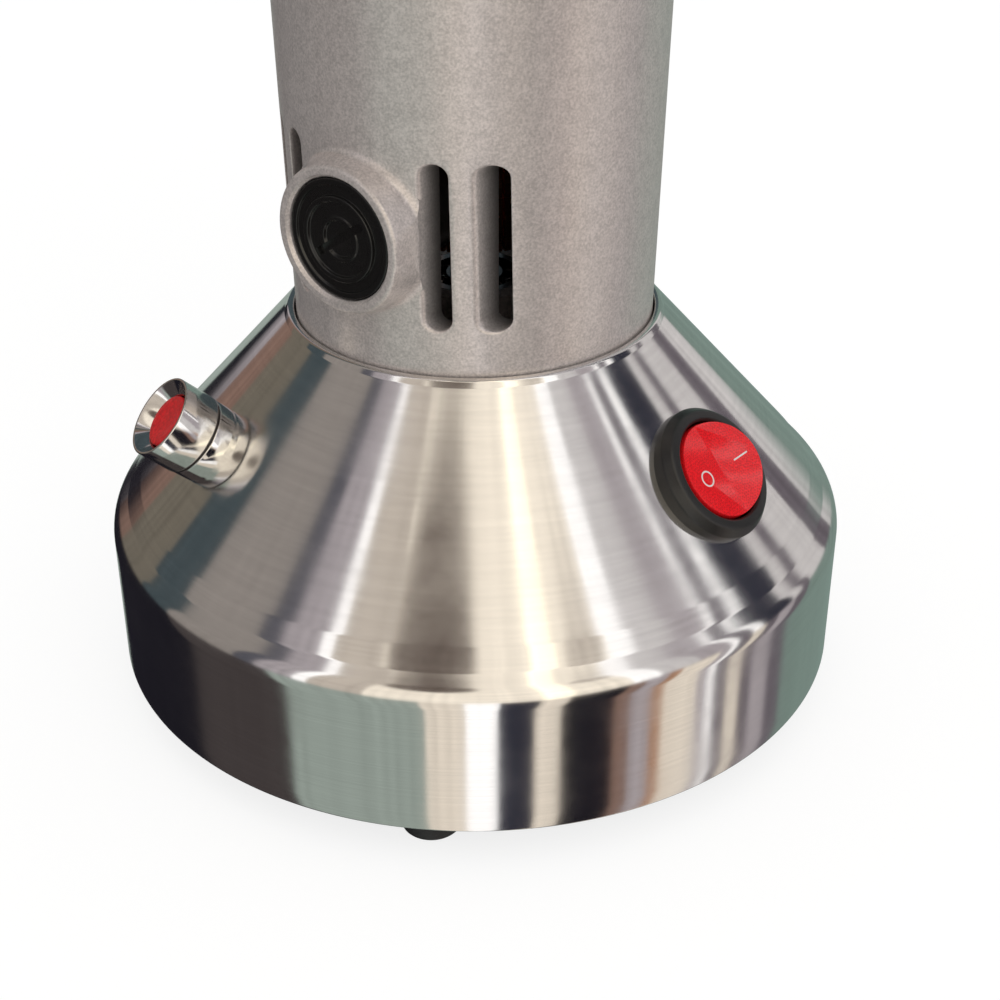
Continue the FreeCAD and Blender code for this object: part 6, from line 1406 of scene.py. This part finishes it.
class GRINDER_OT_studio(bpy.types.Operator):
    """Floor, even light, the room that the metal reflects, and the camera"""
    bl_idname = "grinder.studio"
    bl_label = "Studio"

    def execute(self, context):
        scene = context.scene
        stage = scene.grinder_stage
        scene.view_settings.view_transform = "Standard"

        bpy.ops.object.select_all(action="DESELECT")
        bpy.ops.mesh.primitive_circle_add(vertices=96, radius=6, fill_type="NGON", location=(0, 0, 0))
        floor = context.object
        floor.name = "studio_floor"
        floor.visible_glossy = False
        floor.data.materials.append(self.floor_paint(scene.grinder_colours.floor))

        self.light_room(scene)
        bpy.ops.object.light_add(type="AREA", location=(0.55, -0.9, 1.1))
        key = context.object
        key.data.shape = "DISK"
        key.data.size = 0.9
        key.data.energy = stage.key
        key.data.color = (1.0, 0.97, 0.93)
        key.visible_glossy = False
        aim = Vector((0, 0, 100 * MM))
        key.rotation_euler = (Vector(key.location) - aim).to_track_quat("Z", "Y").to_euler()

        turn = stage.camera_turn
        bpy.ops.object.camera_add(location=(stage.camera_distance * math.sin(turn),
                                            -stage.camera_distance * math.cos(turn), stage.camera_height))
        camera = context.object
        camera.rotation_euler = (math.radians(90) - stage.camera_pitch, 0, turn - stage.camera_pan)
        camera.data.lens = stage.lens
        camera.data.sensor_width = 36
        camera.data.clip_start = 10 * MM
        scene.camera = camera
        return {"FINISHED"}

    def floor_paint(self, colour):
        """Pale floor that keeps the machine's shadow and is near white to the camera."""
        material = bpy.data.materials.new("floor_paint")
        material.use_nodes = True
        tree = material.node_tree
        tree.nodes.clear()
        paint = new_node(tree, "BsdfDiffuse", {"Color": (*colour, 1)})
        white = new_node(tree, "Emission", {"Strength": 1.12})
        rays = new_node(tree, "LightPath").outputs
        share = math_node(tree, "MULTIPLY", rays["Is Camera Ray"], 0.72)
        blend = new_node(tree, "MixShader", {0: share, 1: paint.outputs[0], 2: white.outputs[0]})
        new_node(tree, "OutputMaterial", {"Surface": blend.outputs[0]})
        return material

    def light_room(self, scene):
        """World: even light, a white background, and panels that only glossy surfaces show."""
        scene.world = scene.world or bpy.data.worlds.new("studio_world")
        scene.world.use_nodes = True
        tree = scene.world.node_tree
        tree.nodes.clear()
        black, navy, teal = (0.012, 0.011, 0.016), (0.03, 0.03, 0.045), (0.06, 0.08, 0.09)
        umber, taupe, sage = (0.24, 0.15, 0.12), (0.30, 0.27, 0.25), (0.33, 0.385, 0.35)
        olive, slate, dusk = (0.17, 0.15, 0.12), (0.09, 0.09, 0.11), (0.14, 0.12, 0.14)
        moss, soot, bark = (0.20, 0.27, 0.24), (0.06, 0.05, 0.05), (0.13, 0.10, 0.085)
        lilac, sand, cream = (0.42, 0.38, 0.40), (0.60, 0.53, 0.46), (0.86, 0.77, 0.66)
        orange, pale, bright = (0.42, 0.23, 0.14), (0.66, 0.63, 0.63), (1.08, 0.98, 0.84)
        white, lamp = (1.35, 1.33, 1.33), (1.7, 1.55, 1.25)

        direction = new_node(tree, "TexCoord").outputs["Generated"]
        parts = new_node(tree, "SeparateXYZ", {0: direction}).outputs
        turn = math_node(tree, "ARCTAN2", parts["X"], math_node(tree, "MULTIPLY", parts["Y"], -1.0))
        share = math_node(tree, "ADD", math_node(tree, "DIVIDE", turn, math.tau), 0.5)
        lift = math_node(tree, "DEGREES", math_node(tree, "ARCSINE", parts["Z"]))
        low = reflected_room(tree, share, [
            (-150, sage), (-92, black), (-54, soot), (-9, sage), (3, cream), (13, white), (25, navy),
            (33, cream), (50, black), (56, umber), (63, lilac), (67, orange), (79, cream), (84, lilac),
            (87, white), (92, dusk), (98, cream), (103, dusk), (112, lilac), (120, dusk), (180, moss)])
        high = reflected_room(tree, share, [
            (-144, teal), (-135, lilac), (-125, umber), (-106, olive), (-92, teal), (-66, taupe),
            (-58, slate), (-46, lilac), (-42, white), (-24, sand), (24, bright), (34, lamp),
            (52, bright), (60, white), (72, pale), (83, lilac), (87, white), (92, dusk), (97, white),
            (110, navy), (116, pale), (120, dusk), (133, pale), (141, dusk), (152, pale), (180, moss)])
        high = reflected_card(tree, high, share, lift, (-8, 44), (16, 12), bark)
        high = reflected_card(tree, high, share, lift, (45, 41), (7, 6), sand)
        room = mixed(tree, contrast(tree, parts["Z"], -0.12, 0.0), low, high)

        across = new_node(tree, "CombineXYZ", {"X": math_node(tree, "MULTIPLY", share, 160.0)})
        streaks = noise_node(tree, across.outputs[0], 1.0, 3.0, 0.6)
        strength = math_node(tree, "ADD", math_node(tree, "MULTIPLY", streaks, 1.5), 0.3)
        rays = new_node(tree, "LightPath").outputs
        even, panels, backdrop = (
            new_node(tree, "Background", {"Color": colour, "Strength": power}).outputs[0]
            for colour, power in (((1, 1, 1, 1), scene.grinder_stage.level), (room, strength),
                                  ((1, 1, 1, 1), 1.0)))
        gloss = new_node(tree, "MixShader", {0: rays["Is Glossy Ray"], 1: even, 2: panels}).outputs[0]
        clear = math_node(tree, "MAXIMUM", rays["Is Camera Ray"], rays["Is Transmission Ray"])
        seen = new_node(tree, "MixShader", {0: clear, 1: gloss, 2: backdrop}).outputs[0]
        new_node(tree, "OutputWorld", {"Surface": seen})


class GRINDER_PT_panel(bpy.types.Panel):
    """Sizes, colours and pieces of the grinder"""
    bl_label = "Nut butter grinder"
    bl_idname = "GRINDER_PT_panel"
    bl_space_type = "VIEW_3D"
    bl_region_type = "UI"
    bl_category = "Grinder"

    def draw(self, context):
        for name, group in GROUPS.items():
            box = self.layout.box()
            box.label(text=name.replace("grinder_", "").capitalize())
            for label in group.__annotations__:
                box.prop(getattr(context.scene, name), label)
        for piece in PIECES:
            self.layout.operator(piece.bl_idname)


GROUPS = {
    "grinder_base": GrinderBase,
    "grinder_housing": GrinderHousing,
    "grinder_controls": GrinderControls,
    "grinder_head": GrinderHead,
    "grinder_hopper": GrinderHopper,
    "grinder_colours": GrinderColours,
    "grinder_stage": GrinderStage,
}
PIECES = [
    GRINDER_OT_finishes, GRINDER_OT_studio, GRINDER_OT_base, GRINDER_OT_feet, GRINDER_OT_housing,
    GRINDER_OT_brush_caps, GRINDER_OT_switch, GRINDER_OT_protector, GRINDER_OT_gland, GRINDER_OT_chamber,
    GRINDER_OT_spout, GRINDER_OT_ring, GRINDER_OT_hopper, GRINDER_OT_lid,
]


def register():
    for group in [*GROUPS.values(), *PIECES, GRINDER_PT_panel]:
        bpy.utils.register_class(group)
    for name, group in GROUPS.items():
        setattr(bpy.types.Scene, name, PointerProperty(type=group))


def unregister():
    for name in GROUPS:
        delattr(bpy.types.Scene, name)
    for group in reversed([*GROUPS.values(), *PIECES, GRINDER_PT_panel]):
        bpy.utils.unregister_class(group)


def main():
    register()
    for piece in PIECES:
        area, name = piece.bl_idname.split(".")
        getattr(getattr(bpy.ops, area), name)()


if __name__ == "__main__":
    main()
